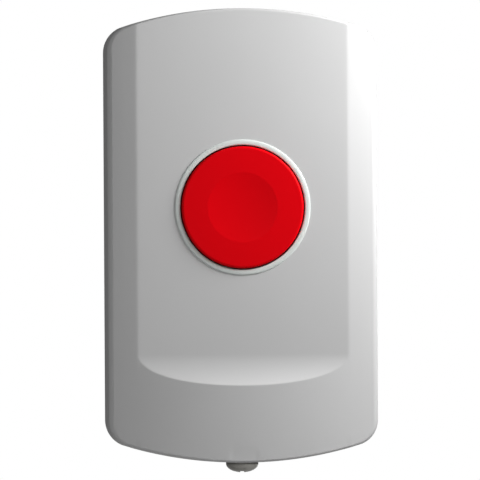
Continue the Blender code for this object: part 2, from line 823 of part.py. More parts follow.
def build_carrier():
    """The white carrier: a cup whose rim shows round the button and leads the lamps' light to the front."""
    rim = panel_level + carrier_bead
    centre_hole = button_post_radius + fit_gap
    profile = [
        (carrier_inner, rim - carrier_bead),
        (carrier_inner + carrier_bead, rim),
        (carrier_outer - carrier_bead, rim),
        (carrier_outer, rim - carrier_bead),
        (carrier_outer, flange_front),
        (flange_radius, flange_front),
        (flange_radius, flange_back),
        (carrier_outer, flange_back),
        (carrier_outer, carrier_back),
        (centre_hole, carrier_back),
        (centre_hole, carrier_step),
        (carrier_inner, carrier_step),
    ]
    spot = (0.0, 0.0, button_rise)
    carrier = turned("button_carrier", profile, carrier_plastic, facing_front, spot, large_turn, True)
    inner = leg_radius - leg_thickness - leg_flex_room
    outer = leg_radius + running_gap
    half = leg_width / 2 + fit_gap
    for number, angle in enumerate(leg_angles(), 1):
        low = (inner, -carrier_step - overrun, -half)
        high = (outer, overrun - carrier_back, half)
        cut(carrier, block(f"leg_slot_{number}", low, high, None, spot, (0.0, -angle, 0.0)))
    return carrier


def leg_angles():
    """Where the button's three legs stand about its axis, measured from +X towards +Z."""
    return [math.pi / 2 + 2 * math.pi * number / 3 for number in range(3)]


def dish_profile():
    """The button's shallow hollow, from its centre out to the flat of its face."""
    points = []
    for step in range(dish_steps + 1):
        share = step / dish_steps
        points.append((dish_radius * share, dish_face + dish_depth * share**2))
    return points


def build_panic_button():
    """The red button: a dished cap with a skirt, a centre post and three snap legs, in one moulding."""
    skirt_end = carrier_step + button_travel + fit_gap
    skirt_inner = button_radius - button_skirt
    shoulder = button_face - button_top
    profile = dish_profile()
    for step in range(round_steps + 1):
        angle = math.pi / 2 * step / round_steps
        inset = button_edge * (1 - math.sin(angle))
        profile.append((button_radius - inset, button_face - button_edge * (1 - math.cos(angle))))
    profile += [
        (button_radius, skirt_end),
        (skirt_inner, skirt_end),
        (skirt_inner, shoulder),
        (dish_radius + dish_rim, shoulder),
        (dish_radius, button_underside),
        (button_post_radius, button_underside),
        (button_post_radius, post_end),
        (0.0, post_end),
    ]
    spot = (0.0, 0.0, button_rise)
    button = turned("panic_button", profile, button_plastic, facing_front, spot, large_turn)
    hook_front_level = carrier_back - seat_gap
    tip = hook_front_level - leg_hook_height
    root = shoulder + bite
    leg = [
        (leg_radius - leg_thickness, -root),
        (leg_radius - leg_thickness, -tip),
        (leg_radius, -tip),
        (leg_radius + leg_hook, -hook_front_level + leg_hook / 2),
        (leg_radius + leg_hook, -hook_front_level),
        (leg_radius, -hook_front_level),
        (leg_radius, -root),
    ]
    for number, angle in enumerate(leg_angles(), 1):
        fuse(button, plate(f"button_leg_{number}", leg, -leg_width / 2, leg_width / 2, (0.0, -angle, 0.0),
                           None, spot))
    return button


def build_button_spring():
    """The coil that lifts the button, between the carrier's floor and the cap."""
    radius = button_post_radius + button_spring_gap + button_spring_wire / 2
    return coil("button_spring", radius, button_spring_wire, carrier_step + seat_gap,
                button_underside - seat_gap, (0.0, 0.0, button_rise))


def build_button_switch():
    """The tactile switch under the button: case, steel plate, plunger and two stamped terminals."""
    case_back = switch_foot + switch_foot_height
    case_front = case_back + switch_case_height
    half = switch_side / 2
    corner = switch_corner
    square = [
        (half - corner, -half), (half, corner - half), (half, half - corner), (half - corner, half),
        (corner - half, half), (-half, half - corner), (-half, corner - half), (corner - half, -half),
    ]
    spot = (0.0, 0.0, button_rise)
    case = plate("button_switch_case", square, case_back, case_front, facing_front, dark_plastic, spot)
    well = switch_plunger_radius + seat_gap
    cut(case, rod("switch_well", well, 0.0, button_rise, case_front - switch_well_depth,
                  case_front + overrun))
    cover = plate("button_switch_plate", square, case_front + seat_gap / 2, switch_top, facing_front,
                  tinned_steel, spot)
    cut(cover, rod("switch_plate_hole", well, 0.0, button_rise, case_front - overrun, switch_top + overrun))
    plunger_back = case_front - switch_well_depth / 2
    rod("button_switch_plunger", switch_plunger_radius, 0.0, button_rise, plunger_back, plunger_tip,
        dark_plastic)
    strip = [
        (-half - terminal_reach, switch_foot),
        (half + terminal_reach, switch_foot),
        (half + terminal_reach, switch_foot + terminal_thickness),
        (-half - terminal_reach, switch_foot + terminal_thickness),
    ]
    outline_points = [(x, -level) for x, level in strip]
    for number, offset in ((1, -terminal_pitch / 2), (2, terminal_pitch / 2)):
        low = offset - terminal_width / 2
        plate(f"button_switch_terminal_{number}", outline_points, low, low + terminal_width, upright,
              tinned_steel, spot)


def build_tamper_switch():
    """The tamper switch on the back of the board, with the sprung plunger that the wall holds in."""
    case_front = board_back - seat_gap
    case_back = case_front - tamper_case_height
    case = pad("tamper_switch_case", tamper_offset, tamper_z, tamper_case_side, tamper_case_side, case_back,
               case_front, dark_plastic)
    well = tamper_stem_radius + seat_gap
    cut(case, rod("tamper_well", well, tamper_offset, tamper_z, case_back - overrun,
                  case_back + tamper_well_depth))
    stem_back = case_back - tamper_stem_height + tamper_stem_travel
    stem_front = case_back + tamper_well_depth - 2 * seat_gap
    rod("tamper_switch_stem", tamper_stem_radius, tamper_offset, tamper_z, stem_back, stem_front,
        tinned_steel)
    flange_low = tamper_seat + tamper_travel
    flange_high = flange_low + tamper_flange
    inner = tamper_radius - tamper_wall
    profile = [
        (0.0, tamper_tip),
        (inner, tamper_tip),
        (inner, flange_high),
        (tamper_flange_radius, flange_high),
        (tamper_flange_radius, flange_low),
        (tamper_radius, flange_low),
        (tamper_radius, tamper_tip_round),
        (tamper_radius - tamper_tip_round, 0.0),
        (0.0, 0.0),
    ]
    spot = (tamper_offset, 0.0, tamper_z)
    turned("tamper_plunger", profile, dark_plastic, facing_front, spot, medium_turn)
    radius = inner - seat_gap - tamper_spring_wire / 2
    coil("tamper_spring", radius, tamper_spring_wire, tamper_tip + seat_gap, stem_back - seat_gap, spot)


def pan_head(name, shank, length, head, height, rim, spot, turn, surface, sides):
    """A pan head screw along its own Z, head down, with its seat at its own origin."""
    crown_height = height - rim
    profile = [(0.0, length), (shank - seat_gap, length), (shank, length - bite), (shank, 0.0), (head, 0.0),
               (head, -rim)]
    for step in range(1, round_steps + 1):
        angle = math.pi / 2 * step / round_steps
        profile.append((head * math.cos(angle), -rim - crown_height * math.sin(angle)))
    return turned(name, profile, surface, turn, spot, sides)


def cross_recess(screw, name, height, arm, width, depth, spot, turn):
    """Cuts a cross recess in a screw's head."""
    low = -height - overrun
    high = depth - height
    cut(screw, block(f"{name}_arm_1", (-arm, -width / 2, low), (arm, width / 2, high), None, spot, turn))
    cut(screw, block(f"{name}_arm_2", (-width / 2, -arm, low), (width / 2, arm, high), None, spot, turn))


def build_screws():
    """The cover screw with its brass insert, and the two board screws."""
    spot = (0.0, -screw_level, screw_seat)
    screw = pan_head("cover_screw", screw_radius, screw_length, screw_head_radius, screw_head_height,
                     screw_head_rim, spot, upright, nickel_plate, medium_turn)
    cross_recess(screw, "cover_screw_recess", screw_head_height, recess_arm, recess_width, recess_depth, spot,
                 upright)
    grooved = insert_radius - insert_groove
    knurl_end = insert_length / 3
    profile = [
        (insert_radius, insert_length),
        (insert_radius, insert_length - knurl_end),
        (grooved, insert_length - knurl_end),
        (grooved, knurl_end),
        (insert_radius, knurl_end),
        (insert_radius, 0.0),
        (insert_bore, 0.0),
        (insert_bore, insert_length),
    ]
    turned("thread_insert", profile, brass_metal, upright, (0.0, -screw_level, boss_bottom), small_turn, True)
    head_down = (-math.pi / 2, 0.0, 0.0)
    for side, x in (("left", -post_across), ("right", post_across)):
        place_at = (x, -board_front - seat_gap, upper_post)
        small = pan_head(f"board_screw_{side}", board_screw_radius, board_screw_length,
                         board_screw_head_radius, board_screw_head_height, board_screw_head_rim, place_at,
                         head_down, nickel_plate, small_turn)
        cross_recess(small, f"board_recess_{side}", board_screw_head_height, board_recess_arm,
                     board_recess_width, board_recess_depth, place_at, head_down)


def build_battery():
    """The lithium cell, a sealed can with a raised positive nub at its right end."""
    radius = battery_diameter / 2
    half = battery_length / 2
    shoulder = half - battery_nub_height
    profile = [
        (0.0, half),
        (battery_nub_radius, half),
        (battery_nub_radius, shoulder - battery_groove_depth),
        (battery_groove_radius, shoulder - battery_groove_depth),
        (battery_groove_radius, shoulder),
        (radius - battery_edge, shoulder),
        (radius, shoulder - battery_edge),
        (radius, battery_edge - half),
        (radius - battery_edge, -half),
        (0.0, -half),
    ]
    turned("battery", profile, battery_wrap, lying, (0.0, -battery_level, battery_rise), medium_turn)


def bent_strip(name, path, surface):
    """A strip of sheet bent along a path of (x, level) points, as wide as a battery contact."""
    shape = bmesh.new()
    half = contact_width / 2
    rows = [[shape.verts.new((x, -level, z)) for z in (-half, half)] for x, level in path]
    for first, second in zip(rows, rows[1:]):
        shape.faces.new((first[0], second[0], second[1], first[1]))
    made = place(name, mesh_from(name, shape), surface, upright, (0.0, 0.0, battery_rise))
    shell = made.modifiers.new("sheet", "SOLIDIFY")
    shell.thickness = contact_thickness
    shell.offset = 0.0
    shell.use_even_offset = True
    return made


def build_contacts():
    """The flat positive contact at the nub and the sprung leaf at the other end."""
    foot_level = board_front + seat_gap + contact_thickness
    foot = notch_half + (board_half - notch_half) * contact_foot_share
    face = battery_length / 2 + seat_gap + contact_thickness
    top = foot_level + contact_height
    bent_strip("battery_contact_positive", [(foot, foot_level), (face, foot_level), (face, top)],
               tinned_steel)
    stand = battery_length / 2 + contact_room - contact_thickness
    bend = stand - (stand - face) * leaf_bend_share
    path = [
        (-foot, foot_level),
        (-stand, foot_level),
        (-stand, top),
        (-bend, top + contact_thickness * 2),
        (-face, foot_level + contact_height * (1 - leaf_rise_share)),
        (-bend, foot_level + contact_height * (1 - leaf_end_share)),
    ]
    bent_strip("battery_contact_negative", path, tinned_steel)


def build_lamps():
    """Two indicator lamps under the carrier's tube, one on each side of the button."""
    ring = (carrier_inner + carrier_outer) / 2
    back = board_front + seat_gap
    front = back + lamp_height
    for side, x in (("left", -ring), ("right", ring)):
        lamp = pad(f"status_lamp_{side}", x, button_rise, lamp_width, lamp_length, back, front, lamp_resin)
        cut(lamp, rod(f"lamp_window_{side}", lamp_window_radius, x, button_rise, front - lamp_window_depth,
                      front + overrun))


def build_controller():
    """The controller chip, with its rows of leads moulded into its four sides."""
    back = board_front + seat_gap
    front = back + controller_height
    chip = pad("controller_chip", controller_x, controller_z, controller_side, controller_side,
               back + lead_thickness, front, dark_plastic)
    lead_front = back + 2 * lead_thickness
    first = -lead_pitch * (lead_count - 1) / 2
    for number in range(lead_count):
        offset = first + number * lead_pitch
        fuse(chip, pad(f"lead_across_{number}", controller_x, controller_z + offset, 2 * controller_reach,
                       lead_width, back, lead_front))
        fuse(chip, pad(f"lead_along_{number}", controller_x + offset, controller_z, lead_width,
                       2 * controller_reach, back, lead_front))


def build_radio():
    """The screened radio, its crystal and the coiled antenna at the board's top."""
    back = board_front + seat_gap
    can = pad("radio_shield", shield_length / 2 - beside_screws, under_screws - shield_width / 2,
              shield_length, shield_width, back, back + shield_height, tinned_steel)
    soften = can.modifiers.new("soften", "BEVEL")
    soften.width = shield_round
    soften.segments = 2
    spot = (crystal_x, 0.0, controller_z)
    can_outline = obround(crystal_length, crystal_width)
    flange = obround(crystal_length + 2 * crystal_flange, crystal_width + 2 * crystal_flange)
    crystal = plate("crystal", flange, back, back + crystal_flange_height, facing_front, tinned_steel, spot)
    fuse(crystal, plate("crystal_can", can_outline, back + crystal_flange_height / 2, back + crystal_height,
                        facing_front, None, spot))
    build_antenna(back)


def build_antenna(back):
    """A spring antenna that lies along the board's top edge, with a straight leg to its solder pad."""
    low = -back - antenna_wire / 2
    z = board_top - antenna_drop
    points = [(-antenna_length / 2 - antenna_leg, low, z)]
    wound = antenna_turns * spring_points
    for step in range(wound + 1):
        angle = 2 * math.pi * step / spring_points
        x = antenna_length * (step / wound - 1 / 2)
        points.append((x, low - antenna_radius * (1 - math.cos(angle)), z + antenna_radius * math.sin(angle)))
    wire_spline("antenna", antenna_wire, points, spring_steel)


def build_small_parts():
    """The reservoir capacitor and a short row of chip resistors."""
    back = board_front + seat_gap
    neck = capacitor_radius - capacitor_groove
    body = back + capacitor_base
    front = back + capacitor_height
    profile = [
        (0.0, front),
        (capacitor_radius - capacitor_edge, front),
        (capacitor_radius, front - capacitor_edge),
        (capacitor_radius, body + capacitor_base),
        (neck, body + capacitor_base / 2),
        (capacitor_radius, body),
        (capacitor_radius, back),
        (0.0, back),
    ]
    turned("reservoir_capacitor", profile, tinned_steel, facing_front,
           (beside_screws - capacitor_radius, 0.0, under_screws - capacitor_radius))
    for number in range(chip_count):
        pad(f"chip_resistor_{number + 1}", chip_row_x, first_chip + chip_pitch * number, chip_length,
            chip_width, back, back + chip_height, ceramic_body)


def shade_parts():
    """Shades every part smooth up to its sharp edges, which changes no shape."""
    tree = bpy.data.node_groups.new("smooth_up_to_sharp_edges", "GeometryNodeTree")
    tree.interface.new_socket("Geometry", in_out="INPUT", socket_type="NodeSocketGeometry")
    tree.interface.new_socket("Geometry", in_out="OUTPUT", socket_type="NodeSocketGeometry")
    start = tree.nodes.new("NodeGroupInput")
    smooth_faces = tree.nodes.new("GeometryNodeSetShadeSmooth")
    edge_angle = tree.nodes.new("GeometryNodeInputMeshEdgeAngle")
    is_sharp = tree.nodes.new("FunctionNodeCompare")
    is_sharp.inputs[1].default_value = sharp_angle
    sharp_edges = tree.nodes.new("GeometryNodeSetShadeSmooth")
    sharp_edges.domain = "EDGE"
    sharp_edges.inputs["Shade Smooth"].default_value = False
    end = tree.nodes.new("NodeGroupOutput")
    tree.links.new(start.outputs[0], smooth_faces.inputs["Geometry"])
    tree.links.new(smooth_faces.outputs["Geometry"], sharp_edges.inputs["Geometry"])
    tree.links.new(edge_angle.outputs["Unsigned Angle"], is_sharp.inputs[0])
    tree.links.new(is_sharp.outputs["Result"], sharp_edges.inputs["Selection"])
    tree.links.new(sharp_edges.outputs["Geometry"], end.inputs[0])
    for piece in parts.objects:
        if piece.type == "MESH":
            piece.modifiers.new("shading", "NODES").node_group = tree


def main():
    """Builds every piece of the panic button."""
    build_front_cover()
    build_base_plate()
    build_carrier()
    build_panic_button()
    build_button_spring()
    build_board()
    build_button_switch()
    build_tamper_switch()
    build_screws()
    build_battery()
    build_contacts()
    build_lamps()
    build_controller()
    build_radio()
    build_small_parts()
    shade_parts()


main()
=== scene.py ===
"""The looks of a wall-mounted wireless panic button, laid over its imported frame.

The frame's own axes hold throughout: X runs to the right, Z runs up, and the front faces -Y.
The wall is the plane y = 0, and a level is a distance from it towards the front.
"""

import logging
import math
from dataclasses import dataclass
from enum import Enum
from typing import Any, Sequence

import bmesh
import bpy
from mathutils import Matrix, Vector


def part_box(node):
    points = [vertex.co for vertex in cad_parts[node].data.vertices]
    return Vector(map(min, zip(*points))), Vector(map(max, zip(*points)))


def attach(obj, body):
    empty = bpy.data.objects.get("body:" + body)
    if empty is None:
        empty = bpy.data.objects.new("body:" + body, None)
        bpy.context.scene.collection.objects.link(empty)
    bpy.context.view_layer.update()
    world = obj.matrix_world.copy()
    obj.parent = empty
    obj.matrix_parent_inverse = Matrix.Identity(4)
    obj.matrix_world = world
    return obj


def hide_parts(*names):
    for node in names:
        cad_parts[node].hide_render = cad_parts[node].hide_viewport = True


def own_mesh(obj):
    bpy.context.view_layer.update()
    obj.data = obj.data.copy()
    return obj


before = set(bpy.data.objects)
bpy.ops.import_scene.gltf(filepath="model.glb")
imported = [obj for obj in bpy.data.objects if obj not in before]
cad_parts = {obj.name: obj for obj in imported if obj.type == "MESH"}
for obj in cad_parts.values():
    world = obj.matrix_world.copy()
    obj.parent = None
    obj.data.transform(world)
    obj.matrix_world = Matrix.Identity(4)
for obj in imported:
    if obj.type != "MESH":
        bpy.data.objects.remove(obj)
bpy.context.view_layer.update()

log = logging.getLogger("panic_button")

MM = 0.001
QUARTER = math.pi / 2
SHARP_EDGE = 34.0
Point = tuple[float, float]
Place = tuple[float, float, float]
Shape = bmesh.types.BMesh
Mesh, Object = bpy.types.Mesh, bpy.types.Object
Tree, Node, Socket = bpy.types.NodeTree, bpy.types.Node, bpy.types.NodeSocket


class Slot(Enum):
    """Names of the material slots, which each finish carries."""

    COVER = "cover_plastic"
    BASE = "base_plastic"
    RING = "white_ring"
    BUTTON = "red_button"
    SPRING = "spring_wire"
    BOARD = "board_laminate"
    BLACK = "black_plastic"
    TINNED = "tinned_steel"
    BATTERY = "battery_can"
    LAMP = "lamp_resin"
    CAPACITOR = "capacitor_can"
    CHIP = "chip_ceramic"
    SCREW = "screw_steel"
    INSERT = "insert_brass"


class Body(Enum):
    """The bodies that pieces ride on."""

    HOUSING = "housing"
    BUTTON = "button"
    SWITCH_PLUNGER = "switch_plunger"
    TAMPER_PIN = "tamper_pin"
    TAMPER_STEM = "tamper_stem"


class Turn(Enum):
    """How a shape that is drawn about its own Z axis is laid in the frame."""

    UPRIGHT = Matrix.Identity(4)
    FACING_FRONT = Matrix.Rotation(QUARTER, 4, "X")
    FACING_WALL = Matrix.Rotation(-QUARTER, 4, "X")
    LYING = Matrix.Rotation(QUARTER, 4, "Y")
    ALONG_WIDTH = Matrix.Rotation(QUARTER, 4, "Z") @ Matrix.Rotation(QUARTER, 4, "X")

    def at(self, x: float = 0.0, y: float = 0.0, z: float = 0.0) -> Matrix:
        """This turn, carried to a spot in the frame."""
        return Matrix.Translation((x, y, z)) @ self.value


# Materials

def linear(code: str) -> tuple[float, float, float, float]:
    """Turns a colour as it is seen into the one that a shader works with.

    Args:
        code: The sRGB colour as six hex digits.

    Returns:
        Linear red, green and blue, and an alpha of one.
    """
    shares = [int(code[start:start + 2], 16) / 255 for start in (0, 2, 4)]
    red, green, blue = (s / 12.92 if s <= 0.04045 else ((s + 0.055) / 1.055) ** 2.4 for s in shares)
    return red, green, blue, 1.0


def add_node(tree: Tree, kind: str, feeds: dict[str | int, Any] | None = None, **settings: Any) -> Node:
    """Adds a node to a tree.

    Args:
        tree: The tree that gets the node.
        kind: The node's type.
        feeds: Its inputs by name or number. A socket is linked, and anything else is set as a value.
        settings: The node's own properties.

    Returns:
        The new node.
    """
    node = tree.nodes.new(kind)
    for name, value in settings.items():
        setattr(node, name, value)
    for key, value in (feeds or {}).items():
        if isinstance(value, Socket):
            tree.links.new(value, node.inputs[key])
        else:
            node.inputs[key].default_value = value
    return node


@dataclass(frozen=True)
class Finish:
    """A material of one piece or of several, named for what it is made of and how."""

    title: str
    slot: Slot
    colour: str
    roughness: float
    metallic: float = 0.0
    ior: float = 1.5
    shine: float = 0.5

    def material(self) -> bpy.types.Material:
        """The Blender material, made once.

        Returns:
            The material that all pieces of this finish share.
        """
        found = bpy.data.materials.get(self.title)
        if found is not None:
            return found
        made = bpy.data.materials.new(self.title)
        made.use_nodes = True
        shader = made.node_tree.nodes["Principled BSDF"]
        for name, value in (("Base Color", linear(self.colour)), ("Roughness", self.roughness),
                            ("Metallic", self.metallic), ("IOR", self.ior),
                            ("Specular IOR Level", self.shine)):
            shader.inputs[name].default_value = value
        self.detail(made.node_tree, shader)
        return made

    def detail(self, tree: Tree, shader: Node) -> None:
        """Adds what the finish shows beside its plain colour."""

    def pattern(self, tree: Tree, kind: str, size: float, **feeds: Any) -> Node:
        """A texture over the piece's own coordinates, with its size in millimetres."""
        spot = add_node(tree, "ShaderNodeTexCoord").outputs["Object"]
        return add_node(tree, kind, {"Vector": spot, "Scale": 1 / (size * MM), **feeds})

    def tint(self, tree: Tree, shader: Node, share: Socket, second: str) -> None:
        """Lets a second colour through where a pattern is strong.

        Args:
            tree: The material's tree.
            shader: Its Principled shader.
            share: The pattern.
            second: The second colour as six hex digits.
        """
        tone = add_node(tree, "ShaderNodeMix", {"Factor": share, 6: linear(self.colour), 7: linear(second)},
                        data_type="RGBA")
        tree.links.new(tone.outputs[2], shader.inputs["Base Color"])

    def dull(self, tree: Tree, shader: Node, share: Socket, less: float, more: float,
             full: float = 1.0) -> None:
        """Varies the roughness with a pattern.

        Args:
            tree: The material's tree.
            shader: Its Principled shader.
            share: The pattern.
            less: How much smoother it is where the pattern is nothing.
            more: How much rougher it is where the pattern is full.
            full: The pattern's own full value.
        """
        spread = add_node(tree, "ShaderNodeMapRange", {
            "Value": share, "From Max": full,
            "To Min": self.roughness - less, "To Max": self.roughness + more})
        tree.links.new(spread.outputs["Result"], shader.inputs["Roughness"])

    def ripple(self, tree: Tree, shader: Node, height: Socket, strength: float, depth: float) -> None:
        """Leans the surface with a pattern whose depth is in millimetres.

        Args:
            tree: The material's tree.
            shader: Its Principled shader.
            height: The pattern.
            strength: The share of the lean.
            depth: The pattern's depth.
        """
        bump = add_node(tree, "ShaderNodeBump", {"Height": height, "Strength": strength,
                                                 "Distance": depth * MM})
        tree.links.new(bump.outputs["Normal"], shader.inputs["Normal"])


@dataclass(frozen=True)
class MouldedPlastic(Finish):
    """An injection moulding from a spark-eroded tool: a fine even grain that softens every highlight."""

    second_colour: str = "FFFFFF"
    grain: float = 0.25
    depth: float = 0.006
    patch: float = 14.0

    def detail(self, tree: Tree, shader: Node) -> None:
        """Adds the tool's grain, and the faint tone that the melt's flow leaves.

        Args:
            tree: The material's tree.
            shader: Its Principled shader.
        """
        flow = self.pattern(tree, "ShaderNodeTexNoise", self.patch, Detail=2.0)
        self.tint(tree, shader, flow.outputs["Fac"], self.second_colour)
        grains = self.pattern(tree, "ShaderNodeTexNoise", self.grain, Detail=3.0, Roughness=0.6)
        self.dull(tree, shader, grains.outputs["Fac"], 0.05, 0.06)
        self.ripple(tree, shader, grains.outputs["Fac"], 0.35, self.depth)


@dataclass(frozen=True)
class DiffusingPlastic(MouldedPlastic):
    """A milky light guide: light sinks in a little before it comes back, so its edges glow softly."""

    sink: float = 1.2
    share: float = 0.35

    def detail(self, tree: Tree, shader: Node) -> None:
        """Adds the scattering below the surface to the moulding's grain.

        Args:
            tree: The material's tree.
            shader: Its Principled shader.
        """
        super().detail(tree, shader)
        shader.inputs["Subsurface Weight"].default_value = self.share
        shader.inputs["Subsurface Radius"].default_value = (1.0, 1.0, 1.0)
        shader.inputs["Subsurface Scale"].default_value = self.sink * MM


@dataclass(frozen=True)
class WorkedMetal(Finish):
    """A plated or drawn metal: fine scratches along one way, and patches where the plating is duller."""

    stretch: Place = (1.0, 1.0, 1.0)
    scratch: float = 0.08
    patch: float = 2.0
    depth: float = 0.002

    def detail(self, tree: Tree, shader: Node) -> None:
        """Adds the scratches and the duller patches.

        Args:
            tree: The material's tree.
            shader: Its Principled shader.
        """
        spot = add_node(tree, "ShaderNodeTexCoord").outputs["Object"]
        along = add_node(tree, "ShaderNodeMapping", {"Vector": spot, "Scale": self.stretch}).outputs[0]
        noise = "ShaderNodeTexNoise"
        lines = self.pattern(tree, noise, self.scratch, Detail=2.0, Vector=along).outputs["Fac"]
        patches = self.pattern(tree, noise, self.patch).outputs["Fac"]
        both = add_node(tree, "ShaderNodeMath", {0: lines, 1: patches}, operation="MULTIPLY").outputs[0]
        self.dull(tree, shader, both, 0.08, 0.12, full=0.5)
        self.ripple(tree, shader, lines, 0.3, self.depth)


@dataclass(frozen=True)
class MaskedLaminate(Finish):
    """Glass-cloth laminate under green solder mask: glossy, with the weave and the copper faintly below."""

    copper_colour: str = "246B41"
    weave: float = 0.5
    pour: float = 9.0
    copper_reach: float = 0.42

    def detail(self, tree: Tree, shader: Node) -> None:
        """Adds the copper areas that lighten the mask, and the weave that ripples its gloss.

        Args:
            tree: The material's tree.
            shader: Its Principled shader.
        """
        areas = self.pattern(tree, "ShaderNodeTexVoronoi", self.pour)
        areas.distance = "CHEBYCHEV"
        copper = add_node(tree, "ShaderNodeMath", {0: areas.outputs["Distance"], 1: self.copper_reach},
                          operation="LESS_THAN")
        self.tint(tree, shader, copper.outputs[0], self.copper_colour)
        cloth = self.pattern(tree, "ShaderNodeTexChecker", self.weave)
        self.ripple(tree, shader, cloth.outputs["Fac"], 0.15, 0.004)


# A pale, faintly uneven grey with soft broad highlights, as on a fresh moulded housing.
COVER_ABS = MouldedPlastic("moulded_light_grey_abs", Slot.COVER, "D4D4D4", 0.42, ior=1.53,
                           second_colour="D0D0D0")
# A shade darker, cooler and duller than the cover, so that the parting line reads.
BASE_ABS = MouldedPlastic("moulded_grey_abs", Slot.BASE, "C6C8C8", 0.48, ior=1.53,
                          second_colour="C1C3C3", grain=0.3)
# A milky white with a green tinge, whose edges glow a little in the light.
RING_ACRYLIC = DiffusingPlastic("moulded_opal_acrylic", Slot.RING, "EAF0EC", 0.3, ior=1.49,
                                second_colour="E4ECE8", grain=0.4, depth=0.003)
# A full signal red with hardly any gloss, so that the hollow shows only as a soft change of tone.
BUTTON_ABS = MouldedPlastic("moulded_red_abs", Slot.BUTTON, "EC000E", 0.45, ior=1.53, shine=0.05,
                            second_colour="E5000D", grain=0.2, depth=0.004)
# A near black with a satin sheen, for the switches, the pin and the printed marks.
BLACK_NYLON = MouldedPlastic("moulded_black_nylon", Slot.BLACK, "1C1C1E", 0.5, second_colour="232325",
                             grain=0.15, patch=3.0)
# A warm white that lets light in, for the lamps' reflector bodies.
LAMP_RESIN = DiffusingPlastic("cast_lamp_resin", Slot.LAMP, "F1EFD8", 0.25, second_colour="EDEBD0",
                              grain=0.3, depth=0.002, patch=2.0, sink=0.8)
# A dry charcoal black without gloss, as on a chip's body.
MOULD_EPOXY = MouldedPlastic("moulded_black_epoxy", Slot.BLACK, "222224", 0.62, second_colour="29292B",
                             grain=0.12, patch=2.0)
# A clear egg yellow dot in each lamp.
PHOSPHOR = MouldedPlastic("yellow_phosphor_resin", Slot.LAMP, "F3DC55", 0.3, second_colour="EBD24A",
                          grain=0.1, patch=0.6)
# A bright warm plating with crisp reflections, dark at the screw's sides and light below.
NICKEL = WorkedMetal("nickel_plated_steel", Slot.SCREW, "B4B2AC", 0.14, 1.0, stretch=(1.0, 1.0, 0.3))
# A cool drawn wire with a line of light along each turn.
SPRING_STEEL = WorkedMetal("drawn_spring_steel", Slot.SPRING, "A9AAAC", 0.3, 1.0)
# A yellow turned metal with rings that the tool left round it.
BRASS = WorkedMetal("turned_brass", Slot.INSERT, "C9A45A", 0.32, 1.0, stretch=(1.0, 1.0, 6.0))
# A soft grey sheen with scratches across, as on tinned sheet and solder.
TINNED_STEEL = WorkedMetal("tinned_steel_sheet", Slot.TINNED, "BDBEC0", 0.36, 1.0,
                           stretch=(0.2, 1.0, 1.0))
# A light satin can whose draw lines run up it.
CAN_ALUMINIUM = WorkedMetal("drawn_aluminium_can", Slot.CAPACITOR, "C3C4C6", 0.3, 1.0,
                            stretch=(1.0, 0.2, 1.0))
# The brighter steel that shows at the cell's two ends.
CELL_STEEL = WorkedMetal("nickel_plated_cell_can", Slot.BATTERY, "B9B9B6", 0.3, 1.0,
                         stretch=(0.2, 1.0, 1.0))
# A slate blue film with a long soft highlight along the cell.
BATTERY_SLEEVE = MouldedPlastic("shrunk_battery_sleeve", Slot.BATTERY, "3A4048", 0.32,
                                second_colour="343A42", grain=0.6, depth=0.003, patch=6.0)
# A lighter green line, glossy where the mask runs over a track.
MASKED_COPPER = MouldedPlastic("masked_copper_track", Slot.BOARD, "2E8750", 0.3, second_colour="2A7D49",
                               grain=0.4, depth=0.003, patch=5.0)
# A deep green gloss with slightly lighter copper areas below it.
LAMINATE = MaskedLaminate("green_masked_laminate", Slot.BOARD, "1E5B38", 0.34)
# A dry brown body between bright ends.
CERAMIC = MouldedPlastic("fired_ceramic", Slot.CHIP, "5A4636", 0.5, second_colour="4E3C2E", grain=0.1,
                         patch=1.0)


# Meshes

def spaced(start: float, end: float, count: int) -> list[float]:
    """Even steps from start to end, without the start."""
    return [start + (end - start) * step / count for step in range(1, count + 1)]


def mm(*points: Sequence[float]) -> list[tuple[float, ...]]:
    """Points that are given in millimetres."""
    return [tuple(value * MM for value in point) for point in points]


def arc(x: float, y: float, radius: float, start: float, end: float, count: int,
        tall: float | None = None) -> list[Point]:
    """Points on an arc, both ends included.

    Args:
        x: The middle's first coordinate.
        y: Its second one.
        radius: The arc's radius.
        start: The angle that it starts from, in radians.
        end: The angle that it ends at.
        count: How many steps it has.
        tall: The radius along the second coordinate, where that is another one.

    Returns:
        The points in their order.
    """
    rise = radius if tall is None else tall
    return [(x + radius * math.cos(angle), y + rise * math.sin(angle))
            for angle in [start, *spaced(start, end, count)]]


def obround(length: float, width: float) -> list[Point]:
    """An outline with straight sides and round ends, its length along X."""
    points = arc((length - width) / 2, 0.0, width / 2, -QUARTER, QUARTER, 24)
    return points + [(-x, -y) for x, y in points]


def extent(node: str) -> tuple[Vector, Vector]:
    """A CAD node's lowest and highest corner."""
    low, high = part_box(node)
    return Vector(low), Vector(high)


def middle_of(node: str) -> Vector:
    """The middle of a CAD node's box."""
    low, high = extent(node)
    return (low + high) / 2


def to_mesh(name: str, shape: Shape) -> Mesh:
    """Turns a bmesh, which is freed, into a mesh with its doubles merged and its faces pointing out.

    Args:
        name: The mesh's name.
        shape: The bmesh.

    Returns:
        The mesh.
    """
    bmesh.ops.remove_doubles(shape, verts=shape.verts, dist=MM / 1000)
    bmesh.ops.dissolve_degenerate(shape, edges=shape.edges, dist=MM / 1000)
    bmesh.ops.recalc_face_normals(shape, faces=shape.faces)
    mesh = bpy.data.meshes.new(name)
    shape.to_mesh(mesh)
    shape.free()
    return mesh


def patch(shape: Shape, rows: Sequence[Sequence[Place]]) -> None:
    """Adds a grid of quads through rows of points of equal length.

    Args:
        shape: The bmesh that gets them.
        rows: The rows of points.
    """
    grid = [[shape.verts.new(point) for point in row] for row in rows]
    for low, high in zip(grid, grid[1:]):
        for here in range(len(low) - 1):
            shape.faces.new((low[here], low[here + 1], high[here + 1], high[here]))


